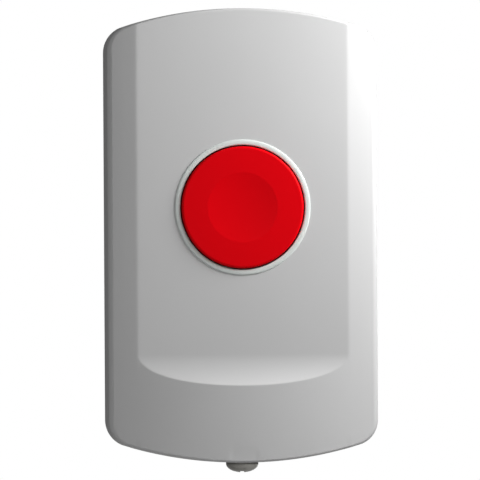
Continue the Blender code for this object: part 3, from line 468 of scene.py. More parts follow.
def cap(shape: Shape, ring: Sequence[Place]) -> None:
    """Closes a ring of points with one flat face."""
    shape.faces.new([shape.verts.new(point) for point in ring])


def revolve(name: str, profile: Sequence[Point], place: Matrix, steps: int = 96,
            closed: bool = False) -> Mesh:
    """Turns a profile about its own Z axis.

    Args:
        name: The mesh's name.
        profile: Points of radius and height, which start and end on the axis unless the profile is closed.
        place: Where the turned shape goes.
        steps: How many flats go round.
        closed: Whether the last point joins the first.

    Returns:
        The mesh, in the frame.
    """
    shape = bmesh.new()
    points = [*profile, profile[0]] if closed else list(profile)
    rows = []
    for step in range(steps + 1):
        angle = 2 * math.pi * (step % steps) / steps
        rows.append([place @ Vector((r * math.cos(angle), r * math.sin(angle), h)) for r, h in points])
    patch(shape, rows)
    return to_mesh(name, shape)


def prism(name: str, points: Sequence[Point], low: float, high: float,
          place: Matrix = Turn.UPRIGHT.value) -> Mesh:
    """Extrudes a flat outline along its own Z axis.

    Args:
        name: The mesh's name.
        points: The outline.
        low: Where the extrusion starts.
        high: Where it ends.
        place: Where the prism goes.

    Returns:
        The mesh, in the frame.
    """
    shape = bmesh.new()
    ends = [[shape.verts.new(place @ Vector((x, y, end))) for x, y in points] for end in (low, high)]
    for end in ends:
        shape.faces.new(end)
    for here in range(len(points)):
        after = (here + 1) % len(points)
        shape.faces.new((ends[0][here], ends[0][after], ends[1][after], ends[1][here]))
    return to_mesh(name, shape)


def stack(name: str, rings: Sequence[Sequence[Place]]) -> Mesh:
    """Skins matching rings into a closed solid whose first and last rings are its flat ends.

    Args:
        name: The mesh's name.
        rings: The rings of points, from one end to the other.

    Returns:
        The mesh, in the frame.
    """
    shape = bmesh.new()
    patch(shape, [[*ring, ring[0]] for ring in rings])
    for ring in (rings[0], rings[-1]):
        cap(shape, ring)
    return to_mesh(name, shape)


def block(name: str, low: Place, high: Place, place: Matrix = Turn.UPRIGHT.value) -> Mesh:
    """A box between two corners."""
    outline = [(low[0], low[1]), (high[0], low[1]), (high[0], high[1]), (low[0], high[1])]
    return prism(name, outline, low[2], high[2], place)


def rod(name: str, radius: float, x: float, z: float, back: float, front: float, steps: int = 48) -> Mesh:
    """A round rod between two levels, seen end on from the front."""
    profile = [(0.0, back), (radius, back), (radius, front), (0.0, front)]
    return revolve(name, profile, Turn.FACING_FRONT.at(x, 0.0, z), steps)


def strip(name: str, path: Sequence[Point], thickness: float, low: float, high: float, bend: float) -> Mesh:
    """Sheet metal bent along a path of x and level, with round bends.

    Args:
        name: The mesh's name.
        path: The middle of the sheet, seen from below.
        thickness: The sheet's thickness.
        low: The height of its lower edge.
        high: The height of its upper edge.
        bend: How far from each corner its bend begins.

    Returns:
        The strip, in the frame.
    """
    points = [Vector(path[0])]
    for before, corner, after in zip(path, path[1:], path[2:]):
        here = Vector(corner)
        back, forth = Vector(before) - here, Vector(after) - here
        start = here + back.normalized() * min(bend, back.length / 2)
        end = here + forth.normalized() * min(bend, forth.length / 2)
        points += [start.lerp(here, s).lerp(here.lerp(end, s), s) for s in [0.0, *spaced(0.0, 1.0, 8)]]
    points.append(Vector(path[-1]))
    sides: list[list[Point]] = [[], []]
    for here, point in enumerate(points):
        way = points[min(here + 1, len(points) - 1)] - points[max(here - 1, 0)]
        across = Vector((-way.y, way.x)).normalized() * thickness / 2
        sides[0].append((point.x + across.x, -point.y - across.y))
        sides[1].append((point.x - across.x, across.y - point.y))
    return prism(name, sides[0] + sides[1][::-1], low, high)


def gather(name: str, meshes: Sequence[Mesh]) -> Mesh:
    """One mesh that holds several separate ones.

    Args:
        name: The mesh's name.
        meshes: The meshes to be copied into it.

    Returns:
        The one mesh.
    """
    shape = bmesh.new()
    for mesh in meshes:
        shape.from_mesh(mesh)
    return to_mesh(name, shape)


# Pieces

def piece_of(name: str, mesh: Mesh) -> Object:
    """A new object in the scene that shows a mesh.

    Args:
        name: The object's name.
        mesh: What it shows.

    Returns:
        The object.
    """
    piece = bpy.data.objects.new(name, mesh)
    bpy.context.scene.collection.objects.link(piece)
    return piece


def settle(piece: Object) -> Mesh:
    """Gives a piece the plain mesh that its modifiers make, and removes them.

    Args:
        piece: The object whose modifiers are applied.

    Returns:
        Its new mesh.
    """
    graph = bpy.context.evaluated_depsgraph_get()
    plain = bpy.data.meshes.new_from_object(piece.evaluated_get(graph), depsgraph=graph)
    plain.name = piece.name
    piece.modifiers.clear()
    piece.data = plain
    return plain


def adopt(piece: Object, finish: Finish, *nodes: str, body: Body = Body.HOUSING) -> Object:
    """Makes an object a piece of the part: its finish, its body and the CAD nodes that it stands for.

    Args:
        piece: The object.
        finish: What it is made of.
        nodes: The CAD nodes that it stands for.
        body: The body that it rides on.

    Returns:
        The same object.
    """
    piece.data.materials.clear()
    piece.data.materials.append(finish.material())
    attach(piece, body.value)
    if nodes:
        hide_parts(*nodes)
    log.info("%s: %d faces on %s", piece.name, len(piece.data.polygons), body.value)
    return piece


def adopt_mesh(name: str, mesh: Mesh, finish: Finish, *nodes: str, body: Body = Body.HOUSING) -> Object:
    """Makes a mesh a piece of the part, smooth but for its sharp edges.

    Args:
        name: The piece's name.
        mesh: Its mesh, already in the frame.
        finish: What it is made of.
        nodes: The CAD nodes that it stands for.
        body: The body that it rides on.

    Returns:
        The piece.
    """
    mesh.name = name
    mesh.shade_smooth()
    mesh.set_sharp_from_angle(angle=math.radians(SHARP_EDGE))
    return adopt(piece_of(name, mesh), finish, *nodes, body=body)


class Workpiece:
    """A mesh under construction, to which features are joined and from which they are cut."""

    def __init__(self, name: str, mesh: Mesh) -> None:
        """Starts from a closed mesh that is already in its place."""
        self.body = piece_of(name, mesh)
        self.tools: list[Object] = []

    def change(self, meshes: Sequence[Mesh], operation: str) -> "Workpiece":
        """Adds a Boolean with each tool mesh: UNION or DIFFERENCE.

        Args:
            meshes: The tools.
            operation: The Boolean's name.

        Returns:
            The same workpiece.
        """
        for mesh in meshes:
            self.tools.append(piece_of(mesh.name, mesh))
            step = self.body.modifiers.new(mesh.name, "BOOLEAN")
            step.operation = operation
            step.object = self.tools[-1]
            step.solver = "EXACT"
        return self

    def cut(self, *meshes: Mesh) -> "Workpiece":
        """Cuts tools from the piece."""
        return self.change(meshes, "DIFFERENCE")

    def join(self, *meshes: Mesh) -> "Workpiece":
        """Joins tools to the piece."""
        return self.change(meshes, "UNION")

    def soften(self, width: float, segments: int = 2) -> "Workpiece":
        """Rounds the sharp edges.

        Args:
            width: How wide the rounding is.
            segments: How many flats it has.

        Returns:
            The same workpiece.
        """
        bevel = self.body.modifiers.new("edge_round", "BEVEL")
        bevel.width = width
        bevel.segments = segments
        bevel.limit_method = "ANGLE"
        bevel.angle_limit = math.radians(40.0)
        return self

    def settled(self) -> Mesh:
        """The mesh with every step applied, and the tools gone.

        Returns:
            The plain mesh, which the object still shows.
        """
        plain = settle(self.body)
        for tool in self.tools:
            bpy.data.objects.remove(tool)
        return plain

    def solid(self) -> Mesh:
        """The mesh with every step applied, to be used in another workpiece.

        Returns:
            The plain mesh, without its object.
        """
        made = self.settled()
        bpy.data.objects.remove(self.body)
        return made

    def finished(self, finish: Finish, *nodes: str, body: Body = Body.HOUSING,
                 sharp: float = SHARP_EDGE) -> Object:
        """Applies every step and makes the result a piece of the part.

        Args:
            finish: The piece's finish.
            nodes: The CAD nodes that it stands for.
            body: The body that it rides on.
            sharp: The angle in degrees from which an edge stays sharp.

        Returns:
            The finished piece, with its place in its mesh.
        """
        plain = self.settled()
        plain.shade_smooth()
        plain.set_sharp_from_angle(angle=math.radians(sharp))
        weigh = self.body.modifiers.new("even_shading", "WEIGHTED_NORMAL")
        weigh.keep_sharp = True
        self.body.data = settle(self.body)
        return adopt(self.body, finish, *nodes, body=body)


# Recipes, the Geometry Nodes trees

class Recipe:
    """A Geometry Nodes tree with named inputs, whose result becomes a plain mesh."""

    def __init__(self, title: str, inputs: dict[str, str]) -> None:
        """Starts a tree.

        Args:
            title: What the tree makes.
            inputs: Its inputs' names and the kinds of their sockets.
        """
        self.tree = bpy.data.node_groups.new(title, "GeometryNodeTree")
        interface = self.tree.interface
        interface.new_socket("Geometry", in_out="INPUT", socket_type="NodeSocketGeometry")
        for name, kind in {**inputs, "Material": "Material"}.items():
            interface.new_socket(name, in_out="INPUT", socket_type=f"NodeSocket{kind}")
        interface.new_socket("Geometry", in_out="OUTPUT", socket_type="NodeSocketGeometry")
        self.given = add_node(self.tree, "NodeGroupInput").outputs

    def end(self, geometry: Socket) -> None:
        """Makes the instances real, sets the finish and closes the tree.

        Args:
            geometry: What the tree has made.
        """
        real = add_node(self.tree, "GeometryNodeRealizeInstances", {"Geometry": geometry})
        dressed = add_node(self.tree, "GeometryNodeSetMaterial",
                           {"Geometry": real.outputs[0], "Material": self.given["Material"]})
        add_node(self.tree, "NodeGroupOutput", {"Geometry": dressed.outputs[0]})

    def make(self, name: str, start: Mesh, finish: Finish, values: dict[str, Any],
             place: Matrix = Turn.UPRIGHT.value) -> Mesh:
        """Runs the tree.

        Args:
            name: The new mesh's name.
            start: The mesh that goes in.
            finish: What the result is made of.
            values: The named inputs.
            place: Where the result goes.

        Returns:
            A plain mesh in the frame.
        """
        holder = piece_of(name, start)
        step = holder.modifiers.new(name, "NODES")
        step.node_group = self.tree
        wanted = {"Material": finish.material(), **values}
        for item in self.tree.interface.items_tree:
            if item.in_out == "INPUT" and item.name in wanted:
                step[item.identifier] = wanted[item.name]
        made = settle(holder)
        bpy.data.objects.remove(holder)
        made.transform(place)
        return made


class SweptWire(Recipe):
    """A round wire that follows a line of points."""

    def __init__(self) -> None:
        """Builds the tree: the line becomes a curve, and a circle is swept along it."""
        super().__init__("swept_wire", {"Wire Radius": "Float", "Sides": "Int"})
        curve = add_node(self.tree, "GeometryNodeMeshToCurve", {"Mesh": self.given["Geometry"]})
        ring = add_node(self.tree, "GeometryNodeCurvePrimitiveCircle",
                        {"Resolution": self.given["Sides"], "Radius": self.given["Wire Radius"]})
        swept = add_node(self.tree, "GeometryNodeCurveToMesh",
                         {"Curve": curve.outputs[0], "Profile Curve": ring.outputs[0], "Fill Caps": True})
        self.end(swept.outputs[0])

    def along(self, name: str, lines: Sequence[Sequence[Place]], radius: float, finish: Finish,
              sides: int = 12, place: Matrix = Turn.UPRIGHT.value) -> Mesh:
        """Sweeps a wire along each line.

        Args:
            name: The mesh's name.
            lines: The points of each wire's middle line.
            radius: The wire's radius.
            finish: What it is drawn from.
            sides: How many flats go round the wire.
            place: Where the wire goes.

        Returns:
            One mesh with every wire.
        """
        points = [point for line in lines for point in line]
        starts = [sum(map(len, lines[:number])) for number in range(len(lines))]
        edges = [(start + here, start + here + 1) for start, line in zip(starts, lines)
                 for here in range(len(line) - 1)]
        middle = bpy.data.meshes.new(f"{name}_line")
        middle.from_pydata(points, edges, [])
        return self.make(name, middle, finish, {"Wire Radius": radius, "Sides": sides}, place)


class RepeatedShape(Recipe):
    """A shape that is repeated in a row, and the row again in rows, with a turn at each step."""

    def __init__(self) -> None:
        """Builds the tree: instances on a line of points, and those on a second line."""
        super().__init__("repeated_shape", {
            "Shape": "Object", "Count": "Int", "Step": "Vector", "Turn": "Float", "Rows": "Int",
            "Row Step": "Vector", "Row Turn": "Float"})
        info = add_node(self.tree, "GeometryNodeObjectInfo", {"Object": self.given["Shape"]})
        shape = info.outputs["Geometry"]
        for count, step, turn in (("Count", "Step", "Turn"), ("Rows", "Row Step", "Row Turn")):
            line = add_node(self.tree, "GeometryNodeMeshLine",
                            {"Count": self.given[count], "Offset": self.given[step]}, mode="OFFSET")
            place = add_node(self.tree, "GeometryNodeInputIndex")
            angle = add_node(self.tree, "ShaderNodeMath", {0: place.outputs[0], 1: self.given[turn]},
                             operation="MULTIPLY")
            lean = add_node(self.tree, "ShaderNodeCombineXYZ", {"Z": angle.outputs[0]})
            spread = add_node(self.tree, "GeometryNodeInstanceOnPoints",
                              {"Points": line.outputs[0], "Instance": shape, "Rotation": lean.outputs[0]})
            shape = spread.outputs[0]
        self.end(shape)

    def of(self, shape: Mesh, finish: Finish, place: Matrix, count: int, step: Place = (0, 0, 0),
           turn: float = 0.0, rows: int = 1, row_step: Place = (0, 0, 0),
           row_turn: float = 0.0) -> Mesh:
        """Repeats a shape.

        Args:
            shape: The first one.
            finish: What they are made of.
            place: Where the rows go.
            count: How many stand in a row.
            step: From one to the next.
            turn: The turn about Z from one to the next.
            rows: How many rows there are.
            row_step: From one row to the next.
            row_turn: The turn about Z from one row to the next.

        Returns:
            One mesh with all of them.
        """
        pattern = piece_of(f"{shape.name}_pattern", shape)
        made = self.make(shape.name, bpy.data.meshes.new("start"), finish, {
            "Shape": pattern, "Count": count, "Step": step, "Turn": turn, "Rows": rows,
            "Row Step": row_step, "Row Turn": row_turn}, place)
        bpy.data.objects.remove(pattern)
        return made


class CrownedFace(Recipe):
    """Gives a flat slab the front cover's face: a crown, and a channel that sweeps forward at its foot."""

    def __init__(self) -> None:
        """Builds the tree, which moves every point in front of the walls back to the face's level."""
        super().__init__("crowned_face", {
            "Front": "Float", "Crown Radius": "Float", "Panel": "Float", "Bank Radius": "Float",
            "Bank Foot": "Float", "Crease": "Float", "Walls End": "Float"})
        given, tree = self.given, self.tree
        spot = add_node(tree, "GeometryNodeInputPosition").outputs[0]
        across, level, height = add_node(tree, "ShaderNodeSeparateXYZ", {0: spot}).outputs
        drop = self.calculate("MAXIMUM", self.calculate("SUBTRACT", given["Bank Foot"], height), 0.0)
        crown = self.calculate("SUBTRACT", self.leg(given["Crown Radius"], across), given["Crown Radius"])
        crown = self.calculate("ADD", crown, given["Front"])
        bank = self.calculate("SUBTRACT", given["Bank Radius"], self.leg(given["Bank Radius"], drop))
        bank = self.calculate("ADD", bank, given["Panel"])
        face = self.calculate("SMOOTH_MIN", crown, bank, given["Crease"])
        back = self.calculate("SUBTRACT", given["Front"], face)
        moves = self.calculate("LESS_THAN", level, self.calculate("MULTIPLY", given["Walls End"], -1.0))
        shift = add_node(tree, "ShaderNodeCombineXYZ", {"Y": self.calculate("MULTIPLY", back, moves)})
        moved = add_node(tree, "GeometryNodeSetPosition",
                         {"Geometry": given["Geometry"], "Offset": shift.outputs[0]})
        self.end(moved.outputs[0])

    def calculate(self, operation: str, *terms: Socket | float) -> Socket:
        """One step of the rule, on numbers or sockets."""
        feeds = dict(enumerate(terms))
        return add_node(self.tree, "ShaderNodeMath", feeds, operation=operation).outputs[0]

    def leg(self, long_side: Socket, short_side: Socket) -> Socket:
        """The other side of a right triangle, and nothing past its reach.

        Args:
            long_side: The side across from the right angle.
            short_side: The known side beside it.

        Returns:
            The length of the third side.
        """
        squares = [self.calculate("MULTIPLY", side, side) for side in (long_side, short_side)]
        left = self.calculate("MAXIMUM", self.calculate("SUBTRACT", *squares), 0.0)
        return self.calculate("SQRT", left)


# Housing

@dataclass(frozen=True)
class Outline:
    """The housing's outline from the front: two long arcs that meet straight sides at round corners."""

    width: float
    height: float
    top_arc: float = 70.0 * MM
    bottom_arc: float = 73.0 * MM
    corner: float = 5.0 * MM
    least_corner: float = 0.8 * MM
    corner_steps: int = 12
    column: float = 0.8 * MM
    extra: tuple[float, ...] = ()

    @property
    def corner_x(self) -> float:
        """How far the long arcs reach to each side."""
        return self.width / 2 - self.corner

    def columns(self) -> list[float]:
        """The places across the long arcs, with the extra ones mirrored among them.

        Returns:
            Places in x, from left to right.
        """
        count = 2 * round(self.corner_x / self.column)
        even = [self.corner_x * (2 * step / count - 1) for step in range(count + 1)]
        added = [x for place in self.extra for x in (-place, place)]
        kept = [x for x in even if all(abs(x - place) > self.column / 8 for place in added)]
        return sorted(kept + added)

    def end(self, inset: float, arc_radius: float) -> list[Point]:
        """The upper end from left to right, moved inwards by inset.

        Args:
            inset: How far inside the outline it lies.
            arc_radius: The long arc's radius.

        Returns:
            Points of x and z.
        """
        half = self.width / 2 - inset
        middle = self.height / 2 - arc_radius
        bow = arc_radius - inset
        corner = max(self.corner - inset, self.least_corner)
        corner_x = half - corner
        corner_z = middle + math.sqrt((bow - corner) ** 2 - corner_x ** 2)
        lean = math.atan2(corner_x, corner_z - middle)
        left = arc(-corner_x, corner_z, corner, math.pi, QUARTER + lean, self.corner_steps)[:-1]
        stretch = corner_x / self.corner_x
        across = [(x * stretch, middle + math.sqrt(bow ** 2 - (x * stretch) ** 2)) for x in self.columns()]
        return left + across + [(-x, z) for x, z in reversed(left)]

    def upper(self, inset: float) -> list[Point]:
        """The upper end from left to right."""
        return self.end(inset, self.top_arc)

    def lower(self, inset: float) -> list[Point]:
        """The lower end from left to right."""
        return [(x, -z) for x, z in self.end(inset, self.bottom_arc)]

    def ring(self, inset: float, level: float) -> list[Place]:
        """The whole outline at one level."""
        points = self.upper(inset) + self.lower(inset)[::-1]
        return [(x, -level, z) for x, z in points]

    def top_bar(self, name: str, x: float, section: Sequence[Point], width: float) -> Mesh:
        """A bar laid across the top arc at x, with points of inset and level as its section.

        Args:
            name: The mesh's name.
            x: Where the bar's middle is.
            section: The bar's section.
            width: Its length along the arc.

        Returns:
            The bar, in the frame.
        """
        lean = math.asin(x / self.top_arc)
        height = self.height / 2 - self.top_arc * (1 - math.cos(lean))
        profile = [(-level, -inset) for inset, level in section]
        place = Matrix.Translation((x, 0.0, height)) @ Matrix.Rotation(lean, 4, "Y") @ Turn.ALONG_WIDTH.value
        return prism(name, profile, -width / 2, width / 2, place)


class Layout:
    """Levels and places that several sub-assemblies share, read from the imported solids."""

    def __init__(self) -> None:
        """Reads the solids' boxes."""
        cover_low, cover_high = extent("front_cover")
        board_low, board_high = extent("circuit_board")
        ring_low, ring_high = extent("button_carrier")
        cell_low, cell_high = extent("battery")
        self.width = cover_high.x - cover_low.x
        self.height = cover_high.z - cover_low.z
        self.top, self.edge = cover_high.z, cover_low.z
        self.front, self.parting = -cover_low.y, -cover_high.y
        self.panel = self.front - 2.0 * MM
        self.board_half, self.board_top = board_high.x, board_high.z
        self.board_back, self.board_front = -board_high.y, -board_low.y
        self.seat = self.board_front + 0.1 * MM
        self.post_x = self.board_half - 4.0 * MM
        self.upper_post = self.board_top - 7.5 * MM
        self.lower_post = -11.2 * MM
        self.notch_top = -14.0 * MM
        self.button_z = (ring_low.z + ring_high.z) / 2
        self.flange = (ring_high.x - ring_low.x) / 2
        self.ring_outer = self.flange - 1.6 * MM
        self.button_face = -extent("panic_button")[0].y
        self.switch_front = -extent("button_switch_case")[0].y
        self.cell_radius = (cell_high.z - cell_low.z) / 2
        self.cell_half = cell_high.x
        self.cell_z, self.cell_level = (cell_low.z + cell_high.z) / 2, -(cell_low.y + cell_high.y) / 2
        self.screw_level = 10.0 * MM
        self.screw_seat = self.edge + 0.6 * MM
        self.boss_bottom = self.edge + 2.6 * MM
        self.boss_top = self.cell_z - self.cell_radius - 0.3 * MM
        self.hook_back, self.hook_front = 9.2 * MM, 10.7 * MM
        self.hook_x, self.hook_width = 12.0 * MM, 6.0 * MM
        self.upper_slot = self.board_top - 14.5 * MM
        self.lower_slot = (self.notch_top + self.button_z - 3.0 * MM) / 2


@dataclass
class FrontCover:
    """The crowned front cover: one moulded shell with its channel, collar, posts and screw entry."""

    layout: Layout
    crown_radius: float = 93.0 * MM
    bank_radius: float = 9.0 * MM
    bank_height: float = 19.9 * MM
    draft: float = 0.2 * MM
    wall: float = 2.0 * MM
    side_round: float = 0.9 * MM
    end_round: float = 0.45 * MM
    inner_round: float = 0.5 * MM
    crease: float = 0.12 * MM
    round_steps: int = 8
    overrun: float = 1.0 * MM
    bite: float = 0.5 * MM
    gap: float = 0.3 * MM
    hole_lap: float = 0.01 * MM
    collar_wall: float = 1.2 * MM
    flange_room: float = 1.2 * MM
    lip: float = 0.3 * MM
    lip_height: float = 0.8 * MM
    rib_thickness: float = 1.2 * MM
    rib_height: float = 2.2 * MM
    hold_down: float = 2.0 * MM
    screw_hole: float = 1.7 * MM
    pocket: float = 3.25 * MM
    pocket_depth: float = 0.7 * MM
    hook_pocket: float = 1.1 * MM
    notch_width: float = 5.8 * MM
    notch_rise: float = 0.5 * MM
    notch_height: float = 0.6 * MM
    notch_fade: float = 2.0 * MM
    notch_depth: float = 0.12 * MM

    def __post_init__(self) -> None:
        """Works out what follows from the sizes."""
        here = self.layout
        self.foot = here.edge + self.bank_height
        drop = here.front - here.panel
        self.channel_half = math.sqrt(self.crown_radius ** 2 - (self.crown_radius - drop) ** 2)
        self.inside = here.panel - self.wall
        beside = [self.channel_half + side * gap * MM for gap in (0.12, 0.3, 0.55) for side in (-1, 1)]
        extra = tuple(sorted([self.channel_half, *beside]))
        self.outline = Outline(here.width, here.height, extra=extra)

    def crown(self, x: float) -> float:
        """The level of the crowned face."""
        return self.layout.front - self.crown_radius + math.sqrt(self.crown_radius ** 2 - x ** 2)

    def bank_end(self, x: float) -> float:
        """How far below its foot the bank meets the crown."""
        rise = max(self.crown(x) - self.layout.panel, 0.0)
        return math.sqrt(max(self.bank_radius ** 2 - (self.bank_radius - rise) ** 2, 0.0))

    def face_rows(self, x: float, top: float, bottom: float) -> list[float]:
        """The heights of a column's points, with close rows where the bank meets the crown.

        Args:
            x: The column's place.
            top: Where the face starts at the upper end.
            bottom: Where it ends at the lower end.

        Returns:
            Heights from top to bottom, as many for every column.
        """
        reach = max(self.bank_end(x), 0.6 * MM)
        near = min(0.2 * MM, reach / 4)
        crease = self.foot - reach
        rows = [top, *spaced(top, self.foot, 6)]
        rows += spaced(self.foot, crease + near, 14)
        rows += [crease + near / 2, crease, crease - near / 2, crease - near]
        return rows + spaced(crease - near, bottom, 8)

    def rounding(self, upper: bool) -> list[list[Place]]:
        """The rows of the slab that turn one end's wall over into its face, from the wall inwards.

        Args:
            upper: Whether it is the upper end.

        Returns:
            The rows of points.
        """
        corner = self.outline.corner_steps
        ease = [self.side_round + (self.end_round - self.side_round) * s / corner for s in range(corner)]
        rounds = ease + [self.end_round] * len(self.outline.columns()) + ease[::-1]
        rows = []
        for step in range(self.round_steps + 1):
            angle = QUARTER * step / self.round_steps
            row = []
            for here, radius in enumerate(rounds):
                inset = self.draft + radius * (1 - math.cos(angle))
                end = self.outline.upper(inset) if upper else self.outline.lower(inset)
                x, z = end[here]
                row.append((x, radius * (1 - math.sin(angle)) - self.layout.front, z))
            rows.append(row)
        return rows

    def slab(self) -> Mesh:
        """The cover's outside before it is crowned: a flat slab with rounded edges and drafted walls.

        Returns:
            The slab, as a closed solid.
        """
        shape = bmesh.new()
        top, bottom = self.rounding(True), self.rounding(False)
        patch(shape, top)
        patch(shape, bottom)
        left = [(top[step][0], bottom[step][0]) for step in range(self.round_steps)]
        right = [(top[step][-1], bottom[step][-1]) for step in range(self.round_steps)]
        grid = []
        for start, end in [*left, *zip(top[-1], bottom[-1]), *reversed(right)]:
            column = []
            for z in self.face_rows(start[0], start[2], end[2]):
                share = (start[2] - z) / (start[2] - end[2])
                column.append((start[0] + (end[0] - start[0]) * share, start[1], z))
            grid.append(column)
        patch(shape, grid)
        rim_top = [(x, -self.layout.parting, z) for x, z in self.outline.upper(0.0)]
        rim_bottom = [(x, -self.layout.parting, z) for x, z in self.outline.lower(0.0)]
        patch(shape, [rim_top, top[0]])
        patch(shape, [rim_bottom, bottom[0]])
        rims = []
        for column, here in ((grid[0], 0), (grid[-1], -1)):
            start, end = rim_top[here], rim_bottom[here]
            span = column[0][2] - column[-1][2]
            shares = [(column[0][2] - point[2]) / span for point in column]
            rims.append([(start[0], start[1], start[2] + (end[2] - start[2]) * share) for share in shares])
            patch(shape, [column, rims[-1]])
        around = rim_top[:-1] + rims[1][:-1] + rim_bottom[:0:-1] + rims[0][:0:-1]
        cap(shape, around)
        return to_mesh("cover_slab", shape)

    def cavity(self) -> Mesh:
        """The room inside the cover, with a crowned roof that has no channel yet.

        Returns:
            The room, as a closed solid.
        """
        inner = Outline(self.layout.width, self.layout.height, corner_steps=8, column=1.6 * MM)
        low = inner.ring(self.wall, self.layout.parting - self.overrun)
        rings = [low]
        for inset, below in ((0.0, self.inner_round), (self.inner_round, 0.0)):
            flat = inner.ring(self.wall + self.draft + inset, self.wall + below)
            rings.append([(x, -y - self.crown(x), z) for x, y, z in flat])
        shape = bmesh.new()
        patch(shape, [[*ring, ring[0]] for ring in rings])
        cap(shape, low)
        half = len(low) // 2
        patch(shape, [rings[-1][:half], rings[-1][:half - 1:-1]])
        return to_mesh("cover_cavity", shape)

    def under_channel(self) -> Mesh:
        """What the underside of the channel takes from the cavity.

        Returns:
            The solid to be cut from the room.
        """
        radius = self.bank_radius + self.wall
        depth = self.layout.front - self.layout.panel + self.overrun
        sweep = math.acos(1 - depth / radius)
        top = self.layout.top + self.overrun
        profile = [(-self.inside, top), *arc(-self.inside - radius, self.foot, radius, 0.0, -sweep, 20)]
        profile += [(-self.inside - depth, profile[-1][1]), (-self.inside - depth, top)]
        half = self.layout.width / 2 + self.overrun
        return prism("under_channel", profile, -half, half, Turn.ALONG_WIDTH.value)

    def collar(self) -> Mesh:
        """The ring inside the cover round the carrier's flange, with the lip that the flange snaps past.

        Returns:
            The collar, as a closed solid.
        """
        here = self.layout
        inner = here.flange + self.gap
        end = self.inside - self.flange_room - self.lip_height
        profile = [(inner + self.collar_wall, self.inside + self.bite), (inner + self.collar_wall, end),
                   (here.flange - self.lip / 2, end), (here.flange - self.lip, end + self.lip / 2),
                   (here.flange - self.lip, end + self.lip_height), (inner, end + self.lip_height),
                   (inner, self.inside + self.bite)]
        return revolve("collar", profile, Turn.FACING_FRONT.at(z=here.button_z), 96, True)

    def screw_entry(self) -> list[Mesh]:
        """The hole, the shallow pocket and the driver notch for the cover screw.

        Returns:
            The solids to be cut from the cover.
        """
        here = self.layout
        spot = Turn.UPRIGHT.at(0.0, -here.screw_level, here.edge)
        tools = []
        depth = here.boss_top - here.edge
        for name, radius, height in (("screw_hole", self.screw_hole, depth),
                                     ("screw_pocket", self.pocket, self.pocket_depth)):
            profile = [(0.0, height), (radius, height), (radius, -self.overrun), (0.0, -self.overrun)]
            tools.append(revolve(name, profile, spot, 64))
        low, high = self.notch_rise + here.edge, self.notch_rise + self.notch_height + here.edge
        end = high + self.notch_fade
        rings = []
        for share in [-1.0, *spaced(-1.0, 1.0, 24)]:
            x = share * self.notch_width / 2
            depth = self.notch_depth * (min((1 - abs(share)) / 0.3, 1.0) * 1.1 - 0.1)
            face = -self.crown(x) - 0.01 * MM
            rings.append([(x, face - self.overrun, low), (x, face, low), (x, face + depth, high),
                          (x, face, end), (x, face - self.overrun, end)])
        tools.append(stack("driver_notch", rings))
        return tools

    def build(self) -> None:
        """The front cover with everything that is moulded on it."""
        here = self.layout
        room = Workpiece("cavity", self.cavity()).cut(self.under_channel()).solid()
        crowned = CrownedFace().make("crowned_slab", self.slab(), COVER_ABS, {
            "Front": here.front, "Crown Radius": self.crown_radius, "Panel": here.panel,
            "Bank Radius": self.bank_radius, "Bank Foot": self.foot, "Crease": self.crease,
            "Walls End": here.parting + self.overrun})
        cover = Workpiece("front_cover_moulding", crowned).cut(room).join(self.collar())
        post_end = here.board_front + self.gap
        roof = self.inside + self.bite
        for x in (-here.post_x, here.post_x):
            cover.join(rod("hold_down", self.hold_down, x, here.lower_post, post_end, roof))
        rib_x = here.flange + self.gap + self.collar_wall + self.rib_thickness
        for x in (-rib_x, rib_x):
            half = self.rib_thickness / 2
            cover.join(block("rib", (x - half, -roof, here.lower_post),
                             (x + half, self.rib_height - self.inside, here.upper_post)))
        cover.cut(rod("carrier_hole", here.ring_outer - self.hole_lap, 0.0, here.button_z,
                      self.inside - self.overrun * 2, here.front + self.overrun, 144))
        cover.cut(*self.screw_entry())
        inset = self.wall + self.draft
        inner, outer = inset + self.overrun, inset - self.hook_pocket
        back, front = here.hook_back - self.gap, here.hook_front + self.gap
        pocket = [(inner, back), (inner, front), (outer, front), (outer, back)]
        for x in (-here.hook_x, here.hook_x):
            cover.cut(self.outline.top_bar("hook_pocket", x, pocket, here.hook_width + 2 * self.gap))
        cover.finished(COVER_ABS, "front_cover", sharp=28.0)


